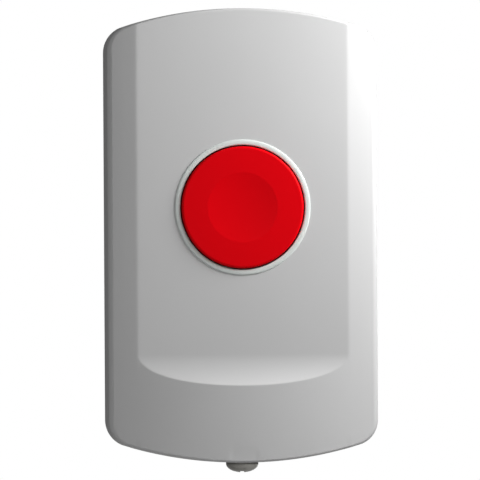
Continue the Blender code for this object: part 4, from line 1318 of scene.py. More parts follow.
@dataclass
class BackPlate:
    """The back plate: floor, rim, board posts, battery saddles, screw lug, top hooks and wall slots."""

    layout: Layout
    floor: float = 2.0 * MM
    chamfer: float = 0.4 * MM
    rim_inset: float = 2.3 * MM
    rim: float = 1.4 * MM
    rim_height: float = 4.0 * MM
    bite: float = 0.5 * MM
    post: float = 2.5 * MM
    pilot: float = 1.1 * MM
    peg: float = 1.2 * MM
    rest: float = 1.8 * MM
    saddle_x: float = 7.5 * MM
    saddle_thickness: float = 1.6 * MM
    saddle_height: float = 5.0 * MM
    saddle_reach: float = 1.6 * MM
    bed_gap: float = 0.15 * MM
    lug: float = 3.8 * MM
    lug_roof: float = 0.8 * MM
    screw_bore: float = 1.7 * MM
    insert_bore: float = 2.3 * MM
    insert_depth: float = 5.1 * MM
    slot: tuple[float, float] = (8.4 * MM, 4.6 * MM)
    land: tuple[float, float] = (1.6 * MM, 0.6 * MM)
    pin_hole: float = 2.85 * MM
    ejector_radius: float = 2.0 * MM
    ejector_depth: float = 0.12 * MM
    ejectors: tuple[Point, ...] = ((-15.0, 30.0), (15.0, 30.0), (-15.0, -2.0), (15.0, -2.0),
                                   (-15.0, -34.0), (15.0, -34.0))

    def build(self) -> None:
        """The back plate with everything that is moulded on it."""
        here = self.layout
        outline = Outline(here.width, here.height)
        ring = outline.ring
        base = Workpiece("back_plate_moulding", stack("floor", [
            ring(self.chamfer, 0.0), ring(self.chamfer / 3, self.chamfer / 3), ring(0.0, self.chamfer),
            ring(0.0, self.floor)]))
        front = self.floor + self.rim_height
        inner = self.rim_inset + self.rim
        rim = Workpiece("rim", stack("rim", [ring(self.rim_inset, self.floor - self.bite),
                                             ring(self.rim_inset, front - 0.3 * MM),
                                             ring(self.rim_inset + 0.2 * MM, front)]))
        rim.cut(stack("rim_inside", [ring(inner, 0.0), ring(inner, front + self.bite)]))
        base.join(rim.solid())
        self.add_posts(base)
        self.add_saddles(base)
        self.add_lug(base)
        self.add_hooks(base, outline)
        self.cut_openings(base)
        base.finished(BASE_ABS, "base_plate")

    def add_posts(self, base: Workpiece) -> None:
        """Two posts that take the board's screws, and two with pegs that pass through the board.

        Args:
            base: The back plate under construction.
        """
        here = self.layout
        root, top = self.floor - self.bite, here.board_back - 0.1 * MM
        for x in (-here.post_x, here.post_x):
            base.join(rod("screw_post", self.post, x, here.upper_post, root, top),
                      rod("peg_post", self.post, x, here.lower_post, root, top))
            base.cut(rod("pilot_hole", self.pilot, x, here.upper_post, root, top + self.bite))
            peg = [(0.0, top - self.bite), (self.peg, top - self.bite),
                   (self.peg, here.board_front - 0.3 * MM), (self.peg - 0.3 * MM, here.board_front),
                   (0.0, here.board_front)]
            base.join(revolve("peg", peg, Turn.FACING_FRONT.at(x, 0.0, here.lower_post), 32))
        rest_x = (here.cell_half + 2.4 * MM + here.board_half) / 2
        for x in (-rest_x, rest_x):
            base.join(rod("rest_post", self.rest, x, here.cell_z - here.cell_radius, root, top))

    def add_saddles(self, base: Workpiece) -> None:
        """Two ribs whose hollow edges carry the battery.

        Args:
            base: The back plate under construction.
        """
        here = self.layout
        reach = here.cell_radius + self.saddle_reach
        length = here.cell_half
        bed = here.cell_radius + self.bed_gap
        half = self.saddle_thickness / 2
        profile = [(0.0, length), (bed, length), (bed, -length), (0.0, -length)]
        for x in (-self.saddle_x, self.saddle_x):
            low = (x - half, -self.floor - self.saddle_height, here.cell_z - reach)
            high = (x + half, self.bite - self.floor, here.cell_z + reach)
            rib = Workpiece("saddle", block("saddle", low, high))
            rib.cut(revolve("battery_bed", profile, Turn.LYING.at(0.0, -here.cell_level, here.cell_z), 64))
            base.join(rib.solid())

    def add_lug(self, base: Workpiece) -> None:
        """The lug at the lower edge that holds the threaded insert.

        Args:
            base: The back plate under construction.
        """
        here = self.layout
        half, root = self.lug, self.bite - self.floor
        outline = [(half, root), *arc(0.0, -here.screw_level, half, 0.0, -math.pi, 24), (-half, root)]
        base.join(prism("screw_lug", outline, here.boss_bottom, here.boss_top))
        end = here.boss_top - here.boss_bottom - self.lug_roof
        hole = [(0.0, end), (self.screw_bore, end), (self.screw_bore, self.insert_depth),
                (self.insert_bore, self.insert_depth), (self.insert_bore, -self.bite), (0.0, -self.bite)]
        base.cut(revolve("insert_hole", hole, Turn.UPRIGHT.at(0.0, -here.screw_level, here.boss_bottom), 48))

    def add_hooks(self, base: Workpiece, outline: Outline) -> None:
        """Two hooks that rise from the rim and catch in pockets of the cover's top wall.

        Args:
            base: The back plate under construction.
            outline: The housing's outline.
        """
        here = self.layout
        root = self.floor - self.bite
        inner, outer, catch, lead = 3.55 * MM, 2.45 * MM, 1.5 * MM, 0.5 * MM
        section = [(inner, root), (inner, here.hook_front), (catch + lead, here.hook_front),
                   (catch, here.hook_front - lead), (catch, here.hook_back), (outer, here.hook_back),
                   (outer, root)]
        for x in (-here.hook_x, here.hook_x):
            base.join(outline.top_bar("hook", x, section, here.hook_width))

    def cut_openings(self, base: Workpiece) -> None:
        """The upright and the level wall slot in their lands, the tamper hole and the ejector marks.

        Args:
            base: The back plate under construction.
        """
        here = self.layout
        length, width = self.slot
        edge, rise = self.land
        turned = Matrix.Rotation(QUARTER, 4, "Y")
        top = self.floor + rise
        for z, turn in ((here.upper_slot, turned), (here.lower_slot, Matrix.Identity(4))):
            place = Matrix.Translation((0.0, 0.0, z)) @ turn @ Turn.FACING_FRONT.value
            grown = obround(length + 2 * edge, width + 2 * edge)
            base.join(prism("slot_land", grown, self.floor - self.bite, top, place))
            base.cut(prism("wall_slot", obround(length, width), -self.bite, top + self.bite, place))
        pin = middle_of("tamper_plunger")
        base.cut(rod("tamper_hole", self.pin_hole, pin.x, pin.z, -self.bite, self.floor + self.bite, 64))
        for x, z in mm(*self.ejectors):
            base.cut(rod("ejector_mark", self.ejector_radius, x, z, -self.bite, self.ejector_depth))


# Button

@dataclass
class PushButton:
    """The red button, the white carrier that it slides in and the spring between them."""

    layout: Layout
    wires: SweptWire
    travel: float = 0.8 * MM
    gap: float = 0.25 * MM
    edge: float = 0.45 * MM
    cap: float = 1.5 * MM
    skirt: float = 1.2 * MM
    skirt_gap: float = 1.1 * MM
    post: float = 2.0 * MM
    post_end: float = 14.35 * MM
    dish_radius: float = 6.5 * MM
    dish_depth: float = 0.8 * MM
    hollow: float = 0.35 * MM
    dish_rim: float = 1.0 * MM
    leg_radius: float = 9.4 * MM
    leg_thickness: float = 1.0 * MM
    leg_width: float = 3.0 * MM
    leg_hook: float = 0.9 * MM
    leg_slot: Point = (7.4 * MM, 9.65 * MM)
    switch_gap: float = 0.55 * MM
    carrier_wall: float = 1.0 * MM
    flange_drop: float = 2.1 * MM
    flange_thickness: float = 1.0 * MM
    bead: float = 0.23 * MM
    soft_side: float = 0.45 * MM
    soft_drop: float = 0.2 * MM
    carrier_floor: float = 1.2 * MM
    spring_wire: float = 0.25 * MM
    spring_radius: float = 2.95 * MM

    def __post_init__(self) -> None:
        """Works out the levels that follow from the switch below the button."""
        here = self.layout
        self.carrier_back = here.switch_front + self.switch_gap
        self.carrier_step = self.carrier_back + self.carrier_floor
        self.underside = here.button_face - self.dish_depth - self.cap
        self.inner = here.ring_outer - self.carrier_wall
        self.axis = Turn.FACING_FRONT.at(z=here.button_z)
        axis = Matrix.Translation((0.0, 0.0, here.button_z))
        self.legs = [axis @ Matrix.Rotation(-QUARTER - 2 * math.pi * n / 3, 4, "Y") for n in range(3)]

    def build_button(self) -> None:
        """The dished cap with its skirt, centre post and three snap legs."""
        here = self.layout
        radius = self.inner - self.gap
        skirt_end = self.carrier_step + self.skirt_gap
        shoulder = here.button_face - self.cap
        profile = [(0.0, here.button_face - self.hollow)]
        for share in spaced(0.0, 1.0, 24):
            profile.append((self.dish_radius * share, here.button_face - self.hollow * (1 - share ** 2)))
        profile += arc(radius - self.edge, here.button_face - self.edge, self.edge, QUARTER, 0.0, 10)
        inner = radius - self.skirt
        profile += [(radius, skirt_end + 0.2 * MM), (radius - 0.2 * MM, skirt_end), (inner, skirt_end),
                    (inner, shoulder), (self.dish_radius + self.dish_rim, shoulder),
                    (self.dish_radius, self.underside), (self.post, self.underside),
                    (self.post, self.post_end + 0.3 * MM), (self.post - 0.3 * MM, self.post_end),
                    (0.0, self.post_end)]
        button = Workpiece("button_moulding", revolve("button", profile, self.axis, 144))
        tip = self.carrier_back - 1.0 * MM
        catch = self.carrier_back - 0.1 * MM
        root = shoulder + 0.5 * MM
        near, out = self.leg_radius - self.leg_thickness, self.leg_radius
        hook = out + self.leg_hook
        leg = [(near, -root), (near, -tip), (out, -tip), (hook, -catch + self.leg_hook / 2),
               (hook, -catch), (out, -catch), (out, -root)]
        for place in self.legs:
            button.join(prism("leg", leg, -self.leg_width / 2, self.leg_width / 2, place))
        button.finished(BUTTON_ABS, "panic_button", body=Body.BUTTON)

    def build_carrier(self) -> None:
        """The white cup whose rim shows round the button."""
        here = self.layout
        rim = here.panel + self.bead
        centre = self.post + 0.3 * MM
        flange_front = here.panel - self.flange_drop
        flange_back = flange_front - self.flange_thickness
        profile = arc(self.inner + self.bead, rim - self.bead, self.bead, math.pi, QUARTER, 5)
        profile += arc(here.ring_outer - self.soft_side, rim - self.soft_drop, self.soft_side,
                       QUARTER, 0.0, 6, self.soft_drop)
        profile += [(here.ring_outer, flange_front), (here.flange, flange_front),
                    (here.flange, flange_back), (here.ring_outer, flange_back),
                    (here.ring_outer, self.carrier_back), (centre, self.carrier_back),
                    (centre, self.carrier_step), (self.inner, self.carrier_step)]
        carrier = Workpiece("ring_moulding", revolve("carrier", profile, self.axis, 144, True))
        half = self.leg_width / 2 + 0.3 * MM
        near, far = self.leg_slot
        for place in self.legs:
            carrier.cut(block("leg_slot", (near, -self.carrier_step - 1.0 * MM, -half),
                              (far, 1.0 * MM - self.carrier_back, half), place))
        carrier.finished(RING_ACRYLIC, "button_carrier")

    def build_spring(self) -> None:
        """The coil that lifts the button, built at the length it has at rest."""
        start, end = self.carrier_step + 0.1 * MM, self.underside - 0.1 * MM
        piece = coil(self.wires, "button_return_spring", self.spring_radius, self.spring_wire, start, end,
                     self.axis)
        adopt(piece, SPRING_STEEL, "button_spring")
        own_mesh(piece)

    def build(self) -> None:
        """Builds the button, its carrier and its spring."""
        self.build_button()
        self.build_carrier()
        self.build_spring()


def coil(wires: SweptWire, name: str, radius: float, wire: float, start: float, end: float,
         place: Matrix) -> Object:
    """A compression spring towards the front, whose first and last turns lie close.

    Args:
        wires: The recipe that sweeps the wire.
        name: The piece's name.
        radius: The radius of the wire's middle line.
        wire: The wire's own radius.
        start: Where the spring begins on its axis.
        end: Where it ends.
        place: Where its axis goes.

    Returns:
        The spring as an object.
    """
    steps = 40
    turns = max(round((end - start) / (3.8 * wire)), 3)
    closed = 2.1 * wire
    open_length = end - start - 2 * wire - 2 * closed
    points = []
    for step in range(turns * steps + 1):
        wound = step / steps
        middle = min(max((wound - 1) / (turns - 2), 0.0), 1.0)
        ends = min(wound, 1.0) + max(wound - turns + 1, 0.0)
        angle = 2 * math.pi * wound
        points.append((radius * math.cos(angle), radius * math.sin(angle),
                       start + wire + closed * ends + open_length * middle))
    mesh = wires.along(name, [points], wire, SPRING_STEEL, 14, place)
    mesh.shade_smooth()
    return piece_of(name, mesh)


# Electronics

@dataclass
class TactileSwitch:
    """The switch under the button: a black case, a riveted steel plate, a plunger and two terminals."""

    layout: Layout
    repeat: RepeatedShape
    half: float = 3.0 * MM
    corner: float = 0.5 * MM
    well: float = 1.8 * MM
    plunger: float = 1.7 * MM
    leg_z: float = 2.25 * MM
    leg_width: float = 0.7 * MM
    case_back: float = 8.6 * MM
    case_front: float = 11.9 * MM
    plate_back: float = 11.95 * MM
    plate_front: float = 12.15 * MM
    tip: float = 13.65 * MM
    rivet: float = 0.35 * MM
    rivet_x: float = 2.2 * MM

    def build(self) -> None:
        """Builds the switch's pieces."""
        z = self.layout.button_z
        place = Turn.FACING_FRONT.at(z=z)
        side, near = self.half, self.half - self.corner
        square = [(near, -side), (side, -near), (side, near), (near, side),
                  (-near, side), (-side, near), (-side, -near), (-near, -side)]
        case = Workpiece("tactile_case", prism("case", square, self.case_back, self.case_front, place))
        case.cut(rod("well", self.well, 0.0, z, self.case_front - 1.0 * MM, self.tip))
        case.soften(0.12 * MM).finished(BLACK_NYLON, "button_switch_case")
        plate = Workpiece("tactile_plate", prism("plate", square, self.plate_back, self.plate_front, place))
        plate.cut(rod("plate_hole", self.well, 0.0, z, self.case_front, self.tip))
        plate.soften(0.04 * MM).finished(TINNED_STEEL, "button_switch_plate")
        dome = [(0.0, self.plate_front - 0.05 * MM), (self.rivet, self.plate_front - 0.05 * MM),
                (self.rivet, self.plate_front + 0.08 * MM), (self.rivet / 2, self.plate_front + 0.16 * MM),
                (0.0, self.plate_front + 0.18 * MM)]
        rivet = revolve("tactile_rivets", dome, Turn.UPRIGHT.at(self.rivet_x, self.rivet_x), 12)
        rivets = self.repeat.of(rivet, BLACK_NYLON, place, 4, turn=QUARTER)
        adopt_mesh("tactile_rivets", rivets, BLACK_NYLON)
        edge = 0.25 * MM
        profile = [(0.0, self.tip), *arc(self.plunger - edge, self.tip - edge, edge, QUARTER, 0.0, 6),
                   (self.plunger, 11.4 * MM), (0.0, 11.4 * MM)]
        adopt_mesh("tactile_plunger", revolve("tactile_plunger", profile, place, 48), BLACK_NYLON,
                   "button_switch_plunger", body=Body.SWITCH_PLUNGER)
        half = self.leg_width / 2
        for number, middle in ((1, z - self.leg_z), (2, z + self.leg_z)):
            legs = []
            for way in (-1, 1):
                path = mm((way * 4.2, 8.3), (way * 3.45, 8.3), (way * 3.2, 9.2), (way * 2.8, 9.3))
                legs.append(strip("leg", path, 0.2 * MM, middle - half, middle + half, 0.15 * MM))
            adopt_mesh(f"tactile_terminal_{number}", gather("terminal", legs), TINNED_STEEL,
                       f"button_switch_terminal_{number}")


@dataclass
class TamperSwitch:
    """The switch behind the board, with the sprung plunger that the wall holds in."""

    layout: Layout
    wires: SweptWire
    repeat: RepeatedShape
    half: float = 3.0 * MM
    back: float = 4.9 * MM
    well: float = 1.4 * MM
    well_depth: float = 0.7 * MM

    def build(self) -> None:
        """Builds the switch, its stem, the plunger and the plunger's spring."""
        pin = middle_of("tamper_plunger")
        x, z = pin.x, pin.z
        place = Turn.FACING_FRONT.at(x, 0.0, z)
        half, back, front = self.half, self.back, self.layout.board_back - 0.1 * MM
        box = block("case", (x - half, -front, z - half), (x + half, -back, z + half))
        case = Workpiece("tamper_case", box)
        case.cut(rod("well", self.well, x, z, back - MM, back + self.well_depth))
        case.soften(0.15 * MM).finished(BLACK_NYLON, "tamper_switch_case")
        tab = block("tamper_terminals", (2.9 * MM, 1.0 * MM, front - 0.15 * MM), (3.7 * MM, 1.7 * MM, front))
        tabs = self.repeat.of(tab, TINNED_STEEL, place, 2, (0.0, -2.7 * MM, 0.0), rows=2, row_turn=math.pi)
        adopt_mesh("tamper_terminals", tabs, TINNED_STEEL)
        stem = mm((0, 5.4), (1.3, 5.4), (1.3, 4.85), (1.15, 4.7), (0, 4.7))
        adopt_mesh("tamper_stem", revolve("tamper_stem", stem, place, 32), TINNED_STEEL,
                   "tamper_switch_stem", body=Body.TAMPER_STEM)
        inside, outside, flange, nose = 2.05, 2.6, 3.5, 0.5
        cup = mm((0, 1.0), (inside, 1.0), (inside, 4.3), (flange - 0.1, 4.3), (flange, 4.2), (flange, 3.7),
                 (flange - 0.1, 3.6), (outside, 3.6),
                 *arc(outside - nose, nose, nose, 0.0, -QUARTER, 6), (0, 0))
        adopt_mesh("tamper_cup", revolve("tamper_cup", cup, place, 64), BLACK_NYLON,
                   "tamper_plunger", body=Body.TAMPER_PIN)
        spring = coil(self.wires, "tamper_coil", 1.775 * MM, 0.175 * MM, 1.1 * MM, 4.6 * MM, place)
        adopt(spring, SPRING_STEEL, "tamper_spring")


@dataclass
class BoardAssembly:
    """The circuit board with its tracks, pads, chips, radio, lamps and antenna."""

    layout: Layout
    wires: SweptWire
    repeat: RepeatedShape
    notch_half: float = 15.9 * MM
    edge: float = 0.08 * MM
    screw_hole: float = 1.15 * MM
    peg_hole: float = 1.3 * MM
    slot_hole: float = 3.8 * MM
    track: float = 0.26 * MM
    track_rise: float = 0.12
    chip_x: float = -9.2 * MM
    chip_z: float = -8.9 * MM
    chip_half: float = 3.5 * MM
    chip_levels: Point = (8.45 * MM, 9.6 * MM)
    first_pin: float = 0.45 * MM
    first_pin_corner: float = 0.9 * MM

    def pad(self, x: float, z: float, length: float, width: float, back: float = 8.08,
            front: float = 8.2) -> Mesh:
        """A flat box on the board, with all its sizes in millimetres and levels as its ends."""
        return block("pad", ((x - length / 2) * MM, -front * MM, (z - width / 2) * MM),
                     ((x + length / 2) * MM, -back * MM, (z + width / 2) * MM))

    def build_board(self) -> None:
        """The laminate with its outline, battery notch and holes."""
        here = self.layout
        outline = Outline(here.width, here.height)
        inset = here.width / 2 - here.board_half
        back, front, edge = here.board_back, here.board_front, self.edge
        rings = [outline.ring(inset + edge, back), outline.ring(inset, back + edge),
                 outline.ring(inset, front - edge), outline.ring(inset + edge, front)]
        board = Workpiece("laminate", stack("laminate", rings))
        board.cut(block("notch", (-self.notch_half, -10.0 * MM, -60.0 * MM),
                        (self.notch_half, 0.0, here.notch_top)))
        holes = [(x, z, radius)
                 for z, radius in ((here.upper_post, self.screw_hole), (here.lower_post, self.peg_hole))
                 for x in (-here.post_x, here.post_x)]
        holes += [(0.0, z, self.slot_hole) for z in (here.upper_slot, here.lower_slot)]
        for x, z, radius in holes:
            board.cut(rod("hole", radius, x, z, 0.0, 10.0 * MM, 64))
        board.finished(LAMINATE, "circuit_board")

    def build_tracks(self) -> None:
        """The copper under the mask: tracks that follow their bends, and rows of plated holes."""
        here = self.layout
        runs = [
            [(-4.6, -11.4), (4.6, -11.4)],
            [(-4.6, -10.4), (3.5, -10.4)],
            [(-6.7, -4.4), (-6.7, -3.9)],
            [(-6.7, 3.5), (-6.7, 7.3), (-4.3, 7.3)],
            [(-5.7, 2.8), (-4.3, 2.8)],
            [(-11.85, 3.2), (-11.85, -4.2)],
            [(11.85, 3.0), (11.85, -1.5), (5.2, -1.5), (5.2, 2.7), (4.2, 2.7)],
            [(-9.4, 19.1), (-9.4, 12.0), (-14.5, 7.0), (-14.5, -2.0), (-12.7, -4.3)],
            [(-13.0, 27.1), (-13.0, 31.0), (-10.6, 32.6)],
            [(11.25, 20.8), (11.25, 17.5), (15.5, 13.0), (17.6, 8.0), (17.6, -19.5)],
            [(-17.6, -19.5), (-17.6, 10.0), (-16.0, 13.0), (-10.5, 17.0), (-10.5, 19.1)],
            [(-16.2, -7.4), (-14.0, -7.4)], [(-16.2, -9.4), (-14.0, -9.4)], [(-16.6, -4.0), (-16.2, -7.4)],
        ]
        lines = [[(x * MM, 0.0, z * MM) for x, z in run] for run in runs]
        flat = Turn.UPRIGHT.at(y=-here.board_front) @ Matrix.Diagonal((1.0, self.track_rise, 1.0, 1.0))
        tracks = self.wires.along("board_tracks", lines, self.track, MASKED_COPPER, 8, flat)
        adopt_mesh("board_tracks", tracks, MASKED_COPPER)
        eyelet = mm((0.2, 0), (0.42, 0), (0.36, 0.05), (0.22, 0.05))
        via = revolve("plated_holes", eyelet, Turn.UPRIGHT.value, 12, True)
        place = Turn.FACING_FRONT.at(-19.2 * MM, -here.board_front, -8.0 * MM)
        rows = self.repeat.of(via, TINNED_STEEL, place, 9, (0.0, 4.0 * MM, 0.0), rows=2,
                              row_step=(38.4 * MM, 0.0, 0.0))
        adopt_mesh("plated_holes", rows, TINNED_STEEL)

    def build_pads(self) -> None:
        """The solder lands under everything that is soldered on."""
        pads = [self.pad(x, 5.1 + z, 1.4, 1.1) for x in (-3.9, 3.9) for z in (-2.25, 2.25)]
        pads += [self.pad(-6.7 + x, z, 0.8, 1.4) for x in (-0.95, 0.95) for z in (-3.175, -0.175, 2.825)]
        pads += [self.pad(x, 5.1 + z, 2.4, 0.9) for x in (-11.85, 11.85) for z in (-1.6, 1.6)]
        pads += [self.pad(x, -23.7, 3.2, 8.6, 8.08, 8.22) for x in (-18.0, 18.0)]
        pads += [self.pad(-9.8, 32.6, 1.6, 1.3), *[self.pad(11.25, z, 1.2, 1.6) for z in (20.9, 27.0)]]
        pads += [self.pad(9.2 + x, -8.9, 2.4, 1.4) for x in (-4.2, 4.2)]
        pads += [self.pad(x, 23.1, 1.2, 8.8) for x in (-14.2, -4.6)]
        adopt_mesh("solder_lands", gather("solder_lands", pads), TINNED_STEEL)

    def build_controller(self) -> None:
        """The controller: a chamfered body with its first-pin dimple, and leads bent down to the board."""
        x, z, half = self.chip_x, self.chip_z, self.chip_half
        back, front = self.chip_levels
        box = block("body", (x - half, -front, z - half), (x + half, -back, z + half))
        body = Workpiece("controller_body", box)
        mark = half - self.first_pin_corner
        body.cut(rod("first_pin", self.first_pin, x - mark, z + mark, front - 0.1 * MM, front + MM, 32))
        body.soften(0.2 * MM, 1).finished(MOULD_EPOXY, "controller_chip", sharp=20.0)
        bend = mm((3.4, 9.12), (3.8, 9.12), (4.02, 8.4), (4.5, 8.4), (4.5, 8.2), (3.88, 8.2), (3.66, 8.94),
                  (3.4, 8.94))
        place = Turn.UPRIGHT.at(y=-2.5 * MM) @ Turn.FACING_FRONT.value
        lead = prism("controller_leads", bend, -0.2 * MM, 0.2 * MM, place)
        land = block("controller_lands", *mm((3.7, -2.78, 8.08), (4.75, -2.22, 8.21)))
        for name, one in (("controller_leads", lead), ("controller_lands", land)):
            around = self.repeat.of(one, TINNED_STEEL, Turn.FACING_FRONT.at(x, 0.0, z), 6, (0.0, MM, 0.0),
                                    rows=4, row_turn=QUARTER)
            adopt_mesh(name, around, TINNED_STEEL)

    def build_chips(self) -> None:
        """The chip resistors: ceramic bodies between tinned ends."""
        place = Turn.FACING_FRONT.at(-6.7 * MM, 0.0, -3.175 * MM)
        body = block("chip_bodies", *mm((-0.7, -0.6, 8.22), (0.7, 0.6, 8.78)))
        bodies = self.repeat.of(body, CERAMIC, place, 3, (0.0, 3.0 * MM, 0.0))
        adopt_mesh("chip_bodies", bodies, CERAMIC, *[f"chip_resistor_{n}" for n in (1, 2, 3)])
        end = block("chip_ends", *mm((0.6, -0.625, 8.2), (1.0, 0.625, 8.8)))
        ends = self.repeat.of(end, TINNED_STEEL, place, 2, turn=math.pi, rows=3,
                              row_step=(0.0, 3.0 * MM, 0.0))
        adopt_mesh("chip_ends", ends, TINNED_STEEL)

    def build_radio(self) -> None:
        """The radio's folded screen with its vents, and the crystal's flanged can."""
        place = Turn.FACING_FRONT.at(-9.4 * MM, 0.0, 23.1 * MM)
        fence = block("fence", *mm((-4.9, -3.9, 8.2), (4.9, 3.9, 9.4)), place)
        lid = Workpiece("lid", block("lid", *mm((-5.0, -4.0, 8.9), (5.0, 4.0, 10.4)), place))
        shield = Workpiece("radio_screen", lid.soften(0.35 * MM, 4).solid()).join(fence)
        hole = revolve("vents", mm((0, 10.1), (0.4, 10.1), (0.4, 11.0), (0, 11.0)),
                       Turn.UPRIGHT.at(-3.2 * MM, -1.6 * MM), 16)
        vents = self.repeat.of(hole, TINNED_STEEL, place, 5, (1.6 * MM, 0.0, 0.0), rows=3,
                               row_step=(0.0, 1.6 * MM, 0.0))
        shield.cut(vents).finished(TINNED_STEEL, "radio_shield")
        spot = Turn.FACING_FRONT.at(9.2 * MM, 0.0, self.chip_z)
        can = Workpiece("can", prism("can", obround(8.0 * MM, 3.6 * MM), 8.3 * MM, 11.0 * MM, spot))
        can.soften(0.4 * MM, 4)
        flange = prism("flange", obround(9.0 * MM, 4.6 * MM), 8.2 * MM, 8.6 * MM, spot)
        Workpiece("crystal_flange", flange).join(can.solid()).finished(TINNED_STEEL, "crystal")

    def build_capacitor(self) -> None:
        """The reservoir capacitor: a scored can on a black foot, with its minus side marked."""
        radius, neck, top, edge = 3.15, 2.9, 13.4, 0.5
        place = Turn.FACING_FRONT.at(11.25 * MM, 0.0, 23.95 * MM)
        body = mm((0, top - 0.1), (radius - 0.8, top - 0.1),
                  *arc(radius - edge, top - edge, edge, QUARTER, 0.0, 6),
                  (radius, 9.9), (neck, 9.6), (neck, 9.4), (radius, 9.1), (radius, 8.9), (0, 8.9))
        can = Workpiece("capacitor_body", revolve("can", body, place, 72))
        for turn in (math.radians(20), math.radians(110)):
            can.cut(block("score", *mm((-1.9, -0.06, 13.22), (1.9, 0.06, 13.6)),
                          place @ Matrix.Rotation(turn, 4, "Z")))
        can.finished(CAN_ALUMINIUM, "reservoir_capacitor")
        side, near = radius, radius - 0.9
        foot = mm((side, -side), (side, side), (-near, side), (-side, near), (-side, -near), (-near, -side))
        base = Workpiece("capacitor_foot", prism("foot", foot, 8.2 * MM, 9.05 * MM, place))
        base.soften(0.08 * MM).finished(BLACK_NYLON)
        mark = prism("capacitor_mark", arc(0.0, 0.0, 2.2 * MM, -1.1, 1.1, 16), 13.28 * MM, 13.32 * MM, place)
        adopt_mesh("capacitor_mark", mark, BLACK_NYLON)

    def build_lamps(self) -> None:
        """The two lamps: a white reflector body, its cup of yellow phosphor and its tinned ends."""
        for side, x in (("left", -11.85), ("right", 11.85)):
            body = Workpiece(f"lamp_body_{side}", self.pad(x, 5.1, 2.8, 2.8, 8.2, 10.1))
            cup = mm((0, 9.7), (0.8, 9.7), (1.15, 10.2), (0, 10.2))
            place = Turn.FACING_FRONT.at(x * MM, 0.0, 5.1 * MM)
            body.cut(revolve("cup", cup, place, 48)).soften(0.1 * MM)
            body.finished(LAMP_RESIN, f"status_lamp_{side}")
            fill = mm((0, 9.98), (0.9, 9.95), (0.84, 9.75), (0, 9.72))
            adopt_mesh(f"lamp_phosphor_{side}", revolve("fill", fill, place, 32), PHOSPHOR)
            ends = gather("ends", [self.pad(x, 5.1 + z, 2.2, 0.5, 8.2, 8.9) for z in (-1.45, 1.45)])
            adopt_mesh(f"lamp_ends_{side}", ends, TINNED_STEEL)

    def build_antenna(self) -> None:
        """The antenna: a wound wire that lies along the board's top edge."""
        radius, wire, length, turns, steps = 2.2 * MM, 0.4 * MM, 15.0 * MM, 8, 24
        low = -self.layout.seat - wire
        z = self.layout.board_top - 4.5 * MM
        points = [(-10.0 * MM, low, z), (-length / 2 - 1.0 * MM, low, z)]
        for step in range(turns * steps + 1):
            angle = 2 * math.pi * step / steps
            x = length * (step / (turns * steps) - 1 / 2)
            points.append((x, low - radius * (1 - math.cos(angle)), z + radius * math.sin(angle)))
        wire_mesh = self.wires.along("wound_antenna", [points], wire, SPRING_STEEL, 14)
        adopt_mesh("wound_antenna", wire_mesh, SPRING_STEEL, "antenna")

    def build(self) -> None:
        """Builds the board and all that is soldered on it."""
        self.build_board()
        self.build_tracks()
        self.build_pads()
        self.build_controller()
        self.build_chips()
        self.build_radio()
        self.build_capacitor()
        self.build_lamps()
        self.build_antenna()


